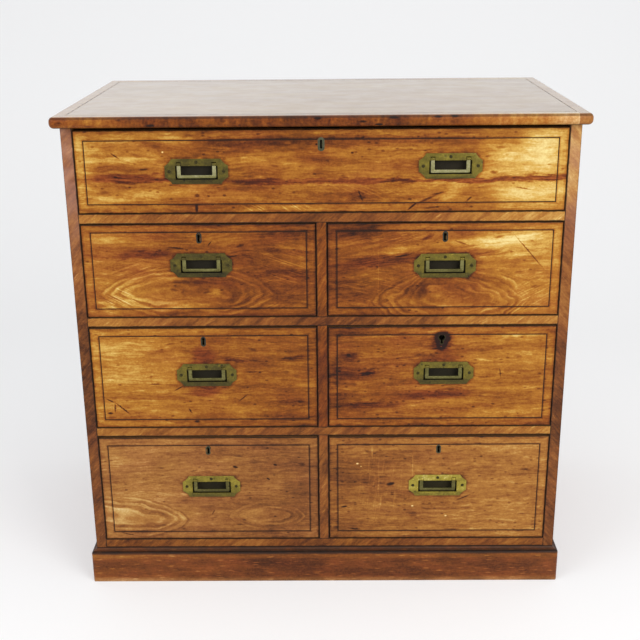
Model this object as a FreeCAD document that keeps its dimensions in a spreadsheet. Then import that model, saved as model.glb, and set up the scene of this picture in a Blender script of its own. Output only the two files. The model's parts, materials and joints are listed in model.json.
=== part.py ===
import FreeCAD, Part
import os
import re
import Sketcher

# A campaign chest of seven drawers on a plinth: one long drawer over three rows of two short ones.
# The origin is on the floor under the middle of the chest. +X is to the right, +Y to the back, +Z up.

# Driving dimensions in millimetres: the sheet's word for each, its value and what it measures.
DIMENSIONS = [
    ("top_width", 934, "top board, side to side"),
    ("top_depth", 553, "top board, front to back"),
    ("top_thick", 20, "top board, thickness"),
    ("top_overhang", 13, "top board past the carcass, at the front"),
    ("top_round", 8, "radius worked on the top board's edges"),
    ("top_corner", 9, "radius of the top board's front corners"),
    ("carcass_width", 900, "carcass, side to side"),
    ("side_thick", 20, "side panel, thickness"),
    ("tongue_high", 6, "tongue of a side panel in the top board"),
    ("tongue_back", 20, "the tongue's setback from the carcass front"),
    ("rail_thick", 18, "rail, height on the front"),
    ("rail_depth", 70, "rail, front to back"),
    ("tenon_long", 10, "stub tenon of a rail in a side panel"),
    ("tenon_setback", 12, "stub tenons' setback from the front"),
    ("tenon_thick", 9, "stub tenon of a rail, thickness"),
    ("muntin_width", 19, "muntin, width on the front"),
    ("muntin_depth", 60, "muntin, front to back"),
    ("muntin_tenon", 6, "stub tenon of a muntin in a rail"),
    ("long_opening", 152, "height of the long drawer's opening"),
    ("upper_opening", 176, "height of the upper pair's openings"),
    ("middle_opening", 203, "height of the middle pair's openings"),
    ("lower_opening", 223, "height of the lower pair's openings"),
    ("long_gap", 5, "gap over the long drawer front"),
    ("upper_gap", 2, "gap over the upper drawer fronts"),
    ("middle_gap", 3, "gap over the middle drawer fronts"),
    ("lower_gap", 4, "gap over the lower drawer fronts"),
    ("gap_under", 1, "gap under every drawer front"),
    ("gap_side", 1, "gap at the ends of every drawer front"),
    ("bottom_thick", 14, "bottom board, thickness"),
    ("housing_deep", 4, "housings in the side panels for runners and bottom"),
    ("back_thick", 12, "back boards, thickness"),
    ("back_rebate", 10, "rebate in the side panels for the back boards"),
    ("back_tongue", 4, "tongue and groove between the back boards"),
    ("runner_width", 40, "side runner, width"),
    ("centre_runner_width", 60, "runner behind a muntin, width"),
    ("guide_high", 14, "guide between two drawers, height"),
    ("stop_width", 40, "drawer stop, width"),
    ("stop_depth", 18, "drawer stop, front to back"),
    ("stop_high", 5, "drawer stop, height"),
    ("stop_inset", 50, "drawer stop, from the end of the drawer"),
    ("plinth_height", 73, "plinth, floor to carcass"),
    ("plinth_thick", 20, "plinth board, thickness"),
    ("plinth_proud", 10, "plinth's face in front of the carcass"),
    ("thumb_radius", 4, "lower, full round of the plinth's moulded edge"),
    ("thumb_riser", 2, "riser between the two rounds"),
    ("cove_radius", 5, "upper, hollow round of the plinth's moulded edge"),
    ("block_size", 40, "glue block in a plinth corner"),
    ("block_high", 70, "glue block, height"),
    ("front_thick", 20, "drawer front, thickness"),
    ("front_ease", 0.8, "eased front edges of a drawer front"),
    ("lap_thick", 5, "wood in front of the half-blind dovetails"),
    ("drawer_depth", 510, "drawer, front to back"),
    ("box_thick", 10, "drawer sides and back, thickness"),
    ("panel_thick", 7, "drawer bottom, thickness"),
    ("panel_rise", 10, "drawer bottom above the runners"),
    ("groove_deep", 5, "groove for the drawer bottom"),
    ("back_drop", 6, "drawer back, below the top of the sides"),
    ("slide_play", 0.2, "play between drawer sides and runners"),
    ("tail_spacing", 48, "about one dovetail for each of these"),
    ("tail_share", 0.6, "narrow end of a tail, as a share of its pitch"),
    ("tail_flare", 2.5, "how far each flank of a tail spreads"),
    ("plate_width", 111, "handle plate, width"),
    ("plate_height", 44.5, "handle plate, height"),
    ("plate_thick", 2.5, "handle plate, thickness"),
    ("plate_proud", 0.5, "handle plate in front of the drawer front"),
    ("scallop_radius", 28, "hollow cut off each plate corner"),
    ("scallop_out", 12.4, "hollow's centre past the plate's end"),
    ("scallop_up", 12.9, "hollow's centre past the plate's long edge"),
    ("mouth_width", 74, "opening in the plate, width"),
    ("mouth_height", 24, "opening in the plate, height"),
    ("mouth_rise", 7.6, "opening, above the plate's lower edge"),
    ("mouth_bevel", 0.8, "bevel round the opening"),
    ("notch_height", 7, "notch over the opening for a bail's knuckle"),
    ("notch_play", 0.6, "play each side of a knuckle"),
    ("pan_wall", 1.2, "sunk pan, wall"),
    ("pan_deep", 12, "sunk pan, depth behind the plate"),
    ("ear_inset", 1.8, "solid cheek inside each ear of the pan"),
    ("pivot_rise", 3, "hinge pins above the opening"),
    ("pivot_back", 3, "hinge pins behind the plate's face"),
    ("pin_radius", 1.5, "hinge pin"),
    ("pin_play", 0.06, "running clearance round a hinge pin"),
    ("bail_width", 69, "bail, width"),
    ("bail_arm", 7, "bail, width of an arm"),
    ("bail_bar", 5.5, "bail, height of the bar"),
    ("bail_thick", 4, "bail, thickness"),
    ("bail_lift", 2.2, "bail above the opening's lower edge"),
    ("knuckle_radius", 3.2, "bail, knuckle round its pin, over its corners"),
    ("bail_corner", 2, "bail, clipped outer corners"),
    ("bail_soft", 0.8, "bail, softened edges"),
    ("screw_end", 7.8, "end screws from the plate's ends"),
    ("screw_top", 6, "top screw from the plate's upper edge"),
    ("screw_head", 3.1, "screw head radius"),
    ("screw_sink", 1.7, "screw head depth"),
    ("screw_shank", 1.4, "screw shank radius"),
    ("screw_long", 12, "screw length"),
    ("screw_play", 0.1, "room round a screw in the plate"),
    ("lock_width", 50, "lock case, width"),
    ("lock_height", 40, "lock case, height"),
    ("lock_thick", 12, "lock case, thickness"),
    ("selvage_width", 64, "lock's selvage plate, width"),
    ("selvage_thick", 2, "lock's selvage plate, thickness"),
    ("bolt_width", 22, "lock bolt, width"),
    ("bolt_thick", 6, "lock bolt, thickness"),
    ("bolt_long", 14, "lock bolt, length"),
    ("bolt_play", 0.3, "play round a lock bolt"),
    ("bolt_travel", 9, "throw of a lock bolt"),
    ("mortise_play", 1.5, "room round a bolt in its mortise"),
    ("keyway_deep", 6, "key's way into the lock case"),
    ("keyhole_drop", 26, "keyhole's middle below the drawer's top edge"),
    ("keyhole_rise", 5.2, "keyhole head, above the keyhole's middle"),
    ("keyhole_fall", 6.2, "keyhole foot, below the keyhole's middle"),
    ("keyhole_head", 3.4, "keyhole head radius"),
    ("keyhole_foot", 2.6, "keyhole foot radius"),
    ("keyhole_waist", 3.6, "keyhole, width of the slot"),
    ("keyhole_short", 0.86, "size of the short drawers' keyholes against the long one's"),
    ("worn_head", 5.6, "head radius of the one keyhole with a wider, replaced thread"),
    ("thread_wall", 1.6, "brass thread round the keyhole, wall"),
]

FRONT = "(-top_depth / 2 + top_overhang)"
BACK = "(top_depth / 2)"
BAY = "(carcass_width / 2 - side_thick)"
HALF_MUNTIN = "(muntin_width / 2)"

doc = FreeCAD.newDocument("campaign_chest")
sizes = doc.addObject("Spreadsheet::Sheet", "sizes")
for number, (alias, amount, meaning) in enumerate(DIMENSIONS, start=1):
    sizes.set(f"A{number}", alias)
    sizes.set(f"B{number}", str(amount))
    sizes.setAlias(f"B{number}", alias)
    sizes.set(f"C{number}", meaning)
doc.recompute()

gauge = doc.addObject("App::FeaturePython", "gauge")
gauge.addProperty("App::PropertyFloat", "Reading")
ALIASES = re.compile(r"\b(" + "|".join(row[0] for row in DIMENSIONS) + r")\b")
BACKWARDS = FreeCAD.Rotation(FreeCAD.Vector(0, 0, 1), FreeCAD.Vector(0, 1, 0))
nodes = []


# --- Tools of the trade --------------------------------------------------------------------------

def formula(text):
    """The text of a formula, with each of the sheet's words made a reference to its cell."""
    return ALIASES.sub(r"sizes.\1", str(text))


def bind(thing, prop, text):
    """Bind a property to a formula over the sheet."""
    thing.setExpression(prop, formula(text))


def reading(text):
    """The number that a formula over the sheet comes to."""
    bind(gauge, "Reading", text)
    gauge.recompute()
    return gauge.Reading


def block(name, low, high):
    """A square-cut board between two opposite corners, each given as three formulas."""
    box = doc.addObject("Part::Box", name)
    for extent, axis, start, end in zip(("Length", "Width", "Height"), "xyz", low, high):
        bind(box, extent, f"({end}) - ({start})")
        bind(box, f"Placement.Base.{axis}", start)
    return box


def rod(name, start, direction, radius, length):
    """A round bar from a starting point along +X or +Y."""
    bar = doc.addObject("Part::Cylinder", name)
    turn = FreeCAD.Rotation(FreeCAD.Vector(0, 0, 1), FreeCAD.Vector(*direction))
    bar.Placement = FreeCAD.Placement(FreeCAD.Vector(), turn)
    for axis, place in zip("xyz", start):
        bind(bar, f"Placement.Base.{axis}", place)
    bind(bar, "Radius", radius)
    bind(bar, "Height", length)
    return bar


def prism(name, start, radius, length, sides):
    """A many-sided bar running back from a starting point, for the small fastenings."""
    bar = doc.addObject("Part::Prism", name)
    bar.Polygon = sides
    bar.Placement = FreeCAD.Placement(FreeCAD.Vector(), BACKWARDS)
    for axis, place in zip("xyz", start):
        bind(bar, f"Placement.Base.{axis}", place)
    bind(bar, "Circumradius", radius)
    bind(bar, "Height", length)
    return bar


def taper(name, across, along, near, far, far_across=None):
    """A block whose Z extent, and X extent if asked, changes from near to far along its Y run."""
    wedge = doc.addObject("Part::Wedge", name)
    far_across = far_across or across
    extents = {
        "Xmin": across[0], "Xmax": across[1], "X2min": far_across[0], "X2max": far_across[1],
        "Ymin": along[0], "Ymax": along[1],
        "Zmin": near[0], "Zmax": near[1], "Z2min": far[0], "Z2max": far[1],
    }
    for prop, text in extents.items():
        bind(wedge, prop, text)
    return wedge


def fuse(name, pieces):
    """One solid, or one tool, from several."""
    joined = doc.addObject("Part::MultiFuse", name)
    joined.Shapes = pieces
    return joined


def cut(name, base, tools):
    """The base with every tool taken out of it."""
    carved = doc.addObject("Part::Cut", name)
    carved.Base = base
    carved.Tool = tools[0] if len(tools) == 1 else fuse(f"{name}_tools", tools)
    return carved


def group(name, pieces):
    """Several separate solids kept together."""
    bundle = doc.addObject("Part::Compound", name)
    bundle.Links = pieces
    return bundle


def node(label, piece):
    """Hand a finished sub-part over under the name of its file."""
    piece.Label = label
    nodes.append(piece)
    return piece


def mirrored(hand, near, far):
    """The low and high X of a stretch from near to far of the middle, on the side of that hand."""
    return (near, far) if hand > 0 else (f"-({far})", f"-({near})")


def edge_numbers(shape, wanted):
    """The numbers of the edges whose two ends and middle all pass a test on a point."""
    found = []
    for index, edge in enumerate(shape.Edges, start=1):
        points = [vertex.Point for vertex in edge.Vertexes] + [edge.CenterOfMass]
        if all(wanted(point) for point in points):
            found.append(index)
    return found


def alike(first, second):
    """Whether two measured numbers are the same but for rounding."""
    return abs(first - second) < 0.01


def sketch_on(body, role, name):
    """An empty sketch on one of a body's own origin planes."""
    sketch = body.newObject("Sketcher::SketchObject", name)
    plane = next(item for item in body.Origin.OriginFeatures if item.Role == role)
    sketch.AttachmentSupport = (plane, [""])
    sketch.MapMode = "FlatFace"
    return sketch


def outline(sketch, corners):
    """A closed outline, each corner held by two bound distances.

    A corner that also names a centre and a radius is followed by an arc, any other by a line.
    """
    places = [FreeCAD.Vector(reading(corner[0]), reading(corner[1]), 0) for corner in corners]
    first = sketch.GeometryCount
    ends = []
    for index, corner in enumerate(corners):
        start = places[index]
        end = places[(index + 1) % len(corners)]
        if len(corner) == 2:
            sketch.addGeometry(Part.LineSegment(start, end), False)
            ends.append((1, 2))
            continue
        centre = FreeCAD.Vector(reading(corner[2][0]), reading(corner[2][1]), 0)
        leftwards = (start - centre).cross(end - centre).z > 0
        begin, finish = (start, end) if leftwards else (end, start)
        circle = Part.Circle(centre, FreeCAD.Vector(0, 0, 1), (start - centre).Length)
        arc = Part.ArcOfCircle(circle, circle.parameter(begin), circle.parameter(finish))
        number = sketch.addGeometry(arc, False)
        held = Sketcher.Constraint("Radius", number, circle.Radius)
        bind(sketch, f"Constraints[{sketch.addConstraint(held)}]", corner[3])
        ends.append((1, 2) if leftwards else (2, 1))
    for index, corner in enumerate(corners):
        following = (index + 1) % len(corners)
        joint = (first + index, ends[index][1], first + following, ends[following][0])
        sketch.addConstraint(Sketcher.Constraint("Coincident", *joint))
        for kind, text, amount in zip(("DistanceX", "DistanceY"), corner, places[index]):
            held = Sketcher.Constraint(kind, -1, 1, first + index, ends[index][0], amount)
            bind(sketch, f"Constraints[{sketch.addConstraint(held)}]", text)


def pad(body, sketch, length, midplane=False):
    feature = body.newObject("PartDesign::Pad", "Pad")
    feature.Profile = sketch
    bind(feature, "Length", length)
    feature.Midplane = midplane
    return feature


def pocket_through(body, sketch):
    """A pocket right through the body, both ways from its sketch, which must take wood away."""
    doc.recompute()
    before = body.Shape.Volume
    feature = body.newObject("PartDesign::Pocket", "Pocket")
    feature.Profile = sketch
    feature.Type = "ThroughAll"
    feature.Midplane = True
    doc.recompute()
    if body.Shape.Volume > before - 0.1:
        raise ValueError(f"{body.Label}: a pocket cut nothing")


def round_edges(body, radius, numbers):
    """Round the numbered edges of a body's last feature."""
    base = body.Tip
    feature = body.newObject("PartDesign::Fillet", "Fillet")
    feature.Base = (base, [f"Edge{number}" for number in numbers])
    bind(feature, "Radius", radius)
    doc.recompute()


# --- Rows of drawers -----------------------------------------------------------------------------

# From the floor up: the height of each row's runners and of the rail or top above its drawers.
ROWS = {}
level = "(plinth_height + rail_thick)"
for row in ("lower", "middle", "upper", "long"):
    ceiling = f"({level} + {row}_opening)"
    ROWS[row] = (level, ceiling)
    level = f"({ceiling} + rail_thick)"
TOP_FLOOR = ROWS["long"][1]

# Each drawer's row, its lowest and highest X, and how far its plates sit to each side of its
# middle and above the middle of its front.
LEFT_BAY = (f"(-{BAY} + gap_side)", f"(-{HALF_MUNTIN} - gap_side)")
RIGHT_BAY = (f"({HALF_MUNTIN} + gap_side)", f"({BAY} - gap_side)")
DRAWERS = {
    "long": ("long", (LEFT_BAY[0], RIGHT_BAY[1]), {"left_": (-217.5, 1), "right_": (226, 7.5)}),
    "upper_left": ("upper", LEFT_BAY, {"": (3, 11)}),
    "upper_right": ("upper", RIGHT_BAY, {"": (1.5, 7.5)}),
    "middle_left": ("middle", LEFT_BAY, {"": (3.5, 6.5)}),
    "middle_right": ("middle", RIGHT_BAY, {"": (5, 8)}),
    "lower_left": ("lower", LEFT_BAY, {"": (2.5, 5.5)}),
    "lower_right": ("lower", RIGHT_BAY, {"": (0, 6)}),
}

# The size and head radius of the keyholes that differ from those of the short drawers.
SHORT_HEAD = "(keyhole_short * keyhole_head)"
KEYHOLES = {"long": ("1", "keyhole_head"), "middle_right": ("keyhole_short", "worn_head")}
BOLT_BACK = f"({FRONT} + front_thick - lock_thick / 2)"


def middle_of(drawer):
    left, right = DRAWERS[drawer][1]
    return f"(({left} + {right}) / 2)"


def bolt_mortises(row):
    """Tools for the mortises over the lock bolts of one row of drawers."""
    tools = []
    for drawer, (its_row, _, _) in DRAWERS.items():
        if its_row != row:
            continue
        middle = middle_of(drawer)
        half_width = "(bolt_width / 2 + mortise_play)"
        half_thick = "(bolt_thick / 2 + mortise_play)"
        foot = ROWS[row][1]
        low = (f"{middle} - {half_width}", f"{BOLT_BACK} - {half_thick}", foot)
        high = (f"{middle} + {half_width}", f"{BOLT_BACK} + {half_thick}", f"{foot} + bolt_travel")
        tools.append(block("bolt_mortise", low, high))
    return tools


# --- Carcass -------------------------------------------------------------------------------------

def top_board():
    """The top: a board with rounded front and side edges, housed over the side panels."""
    body = doc.addObject("PartDesign::Body", "TopBoard")
    sketch = sketch_on(body, "XY_Plane", "TopOutline")
    half, deep = "top_width / 2", "top_depth / 2"
    outline(sketch, [(f"-{half}", f"-{deep}"), (half, f"-{deep}"), (half, deep), (f"-{half}", deep)])
    pad(body, sketch, "top_thick")
    doc.recompute()
    wide = reading(half)
    back = reading(deep)
    thick = reading("top_thick")
    round_edges(body, "top_corner", edge_numbers(
        body.Tip.Shape, lambda point: alike(abs(point.x), wide) and alike(point.y, -back)))
    back_edges = edge_numbers(body.Tip.Shape, lambda point: alike(point.y, back))
    edges = edge_numbers(body.Tip.Shape, lambda point: alike(point.z, 0))
    edges += edge_numbers(body.Tip.Shape, lambda point: alike(point.z, thick))
    round_edges(body, "top_round", [number for number in edges if number not in back_edges])
    bind(body, "Placement.Base.z", TOP_FLOOR)
    doc.recompute()
    housings = []
    for hand in (-1, 1):
        low, high = mirrored(hand, BAY, "carcass_width / 2")
        corner = (low, f"{FRONT} + tongue_back", TOP_FLOOR)
        housings.append(block("housing", corner, (high, BACK, f"{TOP_FLOOR} + tongue_high")))
    return node("top_board", cut("TopBoardHoused", body, housings + bolt_mortises("long")))


def side_panel(hand, label):
    """A side panel with its tongue, back rebate, mortises for the rails and runner housings."""
    low, high = mirrored(hand, BAY, "carcass_width / 2")
    panel = block("panel", (low, FRONT, "plinth_height"), (high, BACK, TOP_FLOOR))
    tongue = block("tongue", (low, f"{FRONT} + tongue_back", TOP_FLOOR),
                   (high, BACK, f"{TOP_FLOOR} + tongue_high"))
    low, high = mirrored(hand, BAY, f"{BAY} + back_rebate")
    tools = [block("rebate", (low, f"{BACK} - back_thick", "plinth_height"), (high, BACK, TOP_FLOOR))]
    rail_tops = [ROWS[row][0] for row in ("lower", "middle", "upper", "long")]
    for number, rail_top in enumerate(rail_tops):
        middle = f"{rail_top} - rail_thick / 2"
        low, high = mirrored(hand, BAY, f"{BAY} + tenon_long")
        tools.append(block("mortise", (low, f"{FRONT} + tenon_setback", f"{middle} - tenon_thick / 2"),
                           (high, f"{FRONT} + rail_depth", f"{middle} + tenon_thick / 2")))
        low, high = mirrored(hand, BAY, f"{BAY} + housing_deep")
        foot = f"{rail_top} - rail_thick" if number else f"{rail_top} - bottom_thick"
        tools.append(block("housing", (low, f"{FRONT} + rail_depth", foot),
                           (high, f"{BACK} - back_thick", rail_top)))
    return node(label, cut("SidePanel", fuse("SideBlank", [panel, tongue]), tools))


def muntin_tenon(foot, head):
    """The space of one stub tenon at the end of a muntin."""
    half = f"({HALF_MUNTIN} - muntin_tenon / 2)"
    return block("muntin_tenon", (f"-{half}", f"{FRONT} + tenon_setback", foot),
                 (half, f"{FRONT} + muntin_depth", head))


def rail(label, top, row_below):
    """A rail with stub tenons, and mortises for the muntins and for the lock bolts below it."""
    foot = f"{top} - rail_thick"
    board = block("board", (f"-{BAY}", FRONT, foot), (BAY, f"{FRONT} + rail_depth", top))
    middle = f"{top} - rail_thick / 2"
    reach = f"({BAY} + tenon_long)"
    tenons = block("tenons", (f"-{reach}", f"{FRONT} + tenon_setback", f"{middle} - tenon_thick / 2"),
                   (reach, f"{FRONT} + rail_depth", f"{middle} + tenon_thick / 2"))
    tools = []
    if row_below:
        tools.append(muntin_tenon(foot, f"{foot} + muntin_tenon"))
        tools += bolt_mortises(row_below)
    if label != "upper_rail":
        tools.append(muntin_tenon(f"{top} - muntin_tenon", top))
    return node(label, cut("Rail", fuse("RailBlank", [board, tenons]), tools))


def muntins():
    """The three uprights between the short drawers, tenoned into the rails."""
    uprights = []
    for row in ("lower", "middle", "upper"):
        foot, head = ROWS[row]
        post = block("post", (f"-{HALF_MUNTIN}", FRONT, foot),
                     (HALF_MUNTIN, f"{FRONT} + muntin_depth", head))
        below = muntin_tenon(f"{foot} - muntin_tenon", foot)
        above = muntin_tenon(head, f"{head} + muntin_tenon")
        uprights.append(fuse("Muntin", [post, below, above]))
    return node("muntins", group("Muntins", uprights))


def runners():
    """Side runners under the upper rows and wide runners behind the muntins."""
    bars = []
    for row in ("long", "upper", "middle"):
        top = ROWS[row][0]
        start, end = f"{FRONT} + rail_depth", f"{BACK} - back_thick"
        for hand in (-1, 1):
            low, high = mirrored(hand, f"{BAY} - runner_width", f"{BAY} + housing_deep")
            bars.append(block("runner", (low, start, f"{top} - rail_thick"), (high, end, top)))
        if row != "long":
            half = "centre_runner_width / 2"
            bars.append(block("centre_runner", (f"-{half}", start, f"{top} - rail_thick"),
                              (half, end, top)))
    return node("drawer_runners", group("Runners", bars))


def guides():
    """Strips behind the muntins that keep neighbouring drawers apart."""
    strips = []
    for row in ("upper", "middle", "lower"):
        foot = ROWS[row][0]
        strips.append(block("guide", (f"-{HALF_MUNTIN}", f"{FRONT} + muntin_depth", foot),
                            (HALF_MUNTIN, f"{BACK} - back_thick", f"{foot} + guide_high")))
    return node("drawer_guides", group("Guides", strips))


def stops():
    """Two small blocks behind each drawer front that stop it flush with the rails."""
    blocks = []
    start = f"{FRONT} + front_thick + slide_play"
    for row, (left, right), _ in DRAWERS.values():
        foot = ROWS[row][0]
        for low in (f"{left} + stop_inset", f"{right} - stop_inset - stop_width"):
            blocks.append(block("stop", (low, start, foot),
                                (f"{low} + stop_width", f"{start} + stop_depth", f"{foot} + stop_high")))
    return node("drawer_stops", group("Stops", blocks))


def bottom_board():
    """The board that closes the carcass behind the bottom rail and carries the lowest drawers."""
    top = ROWS["lower"][0]
    reach = f"({BAY} + housing_deep)"
    return node("bottom_board", block("BottomBoard",
                                      (f"-{reach}", f"{FRONT} + rail_depth", f"{top} - bottom_thick"),
                                      (reach, f"{BACK} - back_thick", top)))


def back_boards():
    """Four upright boards in the back rebates, tongued and grooved together."""
    boards = []
    count = 4
    start = f"(-{BAY} - back_rebate)"
    width = f"((2 * {BAY} + 2 * back_rebate) / {count})"
    tongue_low = f"({BACK} - back_thick * 2 / 3)"
    tongue_high = f"({BACK} - back_thick / 3)"
    for number in range(count):
        left = f"({start} + {number} * {width})"
        right = f"({left} + {width})"
        board = block("board", (left, f"{BACK} - back_thick", "plinth_height"), (right, BACK, TOP_FLOOR))
        if number < count - 1:
            tongue = block("tongue", (right, tongue_low, "plinth_height"),
                           (f"{right} + back_tongue", tongue_high, TOP_FLOOR))
            board = fuse("BackBoard", [board, tongue])
        if number:
            groove = block("groove", (left, tongue_low, "plinth_height"),
                           (f"{left} + back_tongue", tongue_high, TOP_FLOOR))
            board = cut("BackBoardGrooved", board, [groove])
        boards.append(board)
    return node("back_boards", group("BackBoards", boards))


# --- Plinth --------------------------------------------------------------------------------------

FACE_X = "(carcass_width / 2 + plinth_proud)"
FACE_Y = f"({FRONT} - plinth_proud)"


def plinth_section(sketch, face, inwards):
    """The section of a moulded plinth board: a thumb round, a riser and a hollow round on top."""
    def into(amount):
        return f"({face} + {inwards} * ({amount}))"
    floor = "0 * plinth_height"
    cove_foot = "plinth_height - cove_radius"
    thumb_head = f"{cove_foot} - thumb_riser"
    thumb_foot = f"{thumb_head} - thumb_radius"
    cove_start = into("plinth_proud - cove_radius")
    outline(sketch, [
        (face, floor),
        (face, thumb_foot, (into("thumb_radius"), thumb_foot), "thumb_radius"),
        (into("thumb_radius"), thumb_head),
        (into("thumb_radius"), cove_foot),
        (cove_start, cove_foot, (cove_start, "plinth_height"), "cove_radius"),
        (into("plinth_proud"), "plinth_height"),
        (into("plinth_thick"), "plinth_height"),
        (into("plinth_thick"), floor),
    ])


def plinth_front():
    """The front plinth board, moulded along its top edge and mitred at both ends."""
    body = doc.addObject("PartDesign::Body", "PlinthFront")
    section = sketch_on(body, "YZ_Plane", "PlinthFrontSection")
    plinth_section(section, FACE_Y, 1)
    pad(body, section, f"2 * {FACE_X}", midplane=True)
    mitres = sketch_on(body, "XY_Plane", "PlinthFrontMitres")
    inside = f"({FACE_Y} + plinth_thick)"
    for hand in (-1, 1):
        outer = f"{hand} * {FACE_X}"
        inner = f"{hand} * ({FACE_X} - plinth_thick)"
        outline(mitres, [(outer, FACE_Y), (outer, inside), (inner, inside)])
    pocket_through(body, mitres)
    return node("plinth_front", body)


def plinth_sides():
    """The two side plinth boards, mitred at the front and square at the back."""
    length = f"({BACK} - {FACE_Y})"
    boards = []
    for hand in (-1, 1):
        body = doc.addObject("PartDesign::Body", "PlinthSide")
        face = f"{hand} * {FACE_X}"
        section = sketch_on(body, "XZ_Plane", "PlinthSideSection")
        plinth_section(section, face, -hand)
        pad(body, section, length, midplane=True)
        mitre = sketch_on(body, "XY_Plane", "PlinthSideMitre")
        inner = f"{hand} * ({FACE_X} - plinth_thick)"
        front = f"(-{length} / 2)"
        outline(mitre, [(face, front), (inner, front), (inner, f"{front} + plinth_thick")])
        pocket_through(body, mitre)
        bind(body, "Placement.Base.y", f"({BACK} + {FACE_Y}) / 2")
        boards.append(body)
    return node("plinth_sides", group("PlinthSides", boards))


def plinth_back():
    """The plain board between the ends of the side plinth boards."""
    inner = f"({FACE_X} - plinth_thick)"
    board = block("PlinthBack", (f"-{inner}", f"{BACK} - plinth_thick", "0"),
                  (inner, BACK, "plinth_height"))
    return node("plinth_back", board)


def plinth_blocks():
    """Glue blocks in the plinth's four corners, just off the floor."""
    inner = f"({FACE_X} - plinth_thick)"
    blocks = []
    for hand in (-1, 1):
        low, high = mirrored(hand, f"{inner} - block_size", inner)
        front = f"({FACE_Y} + plinth_thick)"
        back = f"({BACK} - plinth_thick)"
        for start, end in ((front, f"{front} + block_size"), (f"{back} - block_size", back)):
            blocks.append(block("glue_block", (low, start, "plinth_height - block_high"),
                                (high, end, "plinth_height")))
    return node("plinth_blocks", group("PlinthBlocks", blocks))


# --- Flush handles -------------------------------------------------------------------------------

FACE = f"({FRONT} - plate_proud)"
HEAD_SIDES = 8
SHANK_SIDES = 6
KNUCKLE_SIDES = 8


def screw_places(middle, level):
    """Where a plate's three screws stand: one at each end and one over the opening."""
    end = "(plate_width / 2 - screw_end)"
    return [(f"{middle} - {end}", level), (f"{middle} + {end}", level),
            (middle, f"{level} + plate_height / 2 - screw_top")]


def screw_room(name, across, up, slack):
    """The space of a screw whose head is flush with the plate."""
    start = (across, FACE, up)
    return [prism(name, start, f"screw_head + {slack}", "screw_sink", HEAD_SIDES),
            prism("shank", start, f"screw_shank + {slack}", "screw_long", SHANK_SIDES)]


def flush_handle(name, middle, level):
    """A flush handle round a middle X and a level Z.

    The plate, its sunk pan and the hinge pins are one casting. Returns it with its screws, and the
    tools for the handle's bed in the wood.
    """
    half_wide, half_high = "plate_width / 2", "plate_height / 2"
    blank = block("plate_blank", (f"{middle} - {half_wide}", FACE, f"{level} - {half_high}"),
                  (f"{middle} + {half_wide}", f"{FACE} + plate_thick", f"{level} + {half_high}"))
    hollows = []
    for across in (-1, 1):
        for up in (-1, 1):
            centre = (f"{middle} + {across} * ({half_wide} + scallop_out)", FACE,
                      f"{level} + {up} * ({half_high} + scallop_up)")
            hollows.append(rod("hollow", centre, (0, 1, 0), "scallop_radius", "plate_thick"))
    shaped = cut("ShapedPlate", blank, hollows)

    foot = f"({level} - {half_high} + mouth_rise)"
    head = f"({foot} + mouth_height)"
    back = f"({FACE} + plate_thick)"
    half_mouth = "(mouth_width / 2)"
    mouth_left = f"({middle} - {half_mouth})"
    mouth_right = f"({middle} + {half_mouth})"
    mouth = block("mouth", (mouth_left, FACE, foot), (mouth_right, back, head))
    bevel = taper("mouth_bevel", (f"{mouth_left} - mouth_bevel", f"{mouth_right} + mouth_bevel"),
                  (FACE, f"{FACE} + mouth_bevel"), (f"{foot} - mouth_bevel", f"{head} + mouth_bevel"),
                  (foot, head), (mouth_left, mouth_right))

    # The pan behind the opening has an ear over each end, where a knuckle turns on its pin.
    floor = f"({back} + pan_deep)"
    knuckle_in = "(bail_width / 2 - bail_arm - notch_play)"
    knuckle_out = "(bail_width / 2 + notch_play)"
    ear_head = f"({head} + notch_height)"
    outer = [block("pan", (f"{middle} - {half_mouth} - pan_wall", back, f"{foot} - pan_wall"),
                   (f"{middle} + {half_mouth} + pan_wall", f"{floor} + pan_wall", f"{head} + pan_wall"))]
    hollow = [block("pan_room", (f"{middle} - {half_mouth}", back, foot),
                    (f"{middle} + {half_mouth}", floor, head))]
    notches = []
    pins = []
    pivot_z = f"({head} + pivot_rise)"
    pivot_y = f"({FACE} + pivot_back)"
    for hand in (-1, 1):
        low, high = mirrored(hand, f"{knuckle_in} - ear_inset", f"{half_mouth} + pan_wall")
        outer.append(block("ear", (f"{middle} + {low}", back, head),
                           (f"{middle} + {high}", f"{floor} + pan_wall", f"{ear_head} + pan_wall")))
        low, high = mirrored(hand, knuckle_in, half_mouth)
        hollow.append(block("ear_room", (f"{middle} + {low}", back, head),
                            (f"{middle} + {high}", floor, ear_head)))
        low, high = mirrored(hand, knuckle_in, knuckle_out)
        notches.append(block("notch", (f"{middle} + {low}", FACE, head),
                             (f"{middle} + {high}", back, ear_head)))
        low, high = mirrored(hand, f"{knuckle_in} - ear_inset", f"{half_mouth} + pan_wall")
        pins.append(rod("pin", (f"{middle} + {low}", pivot_y, pivot_z), (1, 0, 0), "pin_radius",
                        f"{half_mouth} + pan_wall - {knuckle_in} + ear_inset"))

    screws = []
    sinks = []
    pilots = []
    for across, up in screw_places(middle, level):
        sinks += screw_room("sink", across, up, "screw_play")
        pilots.append(prism("pilot", (across, FACE, up), "screw_shank", "screw_long", SHANK_SIDES))
        screws.append(fuse("Screw", screw_room("head", across, up, "0")))
    pan = fuse("PanOuter", outer)
    blank_shell = fuse("PlateBlank", [shaped, pan])
    shell = cut("PlateAndPan", blank_shell, [mouth, bevel] + notches + hollow + sinks)
    bail(name, middle, foot, pivot_y, pivot_z)
    return [fuse("Casting", [shell] + pins)] + screws, [shaped, pan] + pilots


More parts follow.
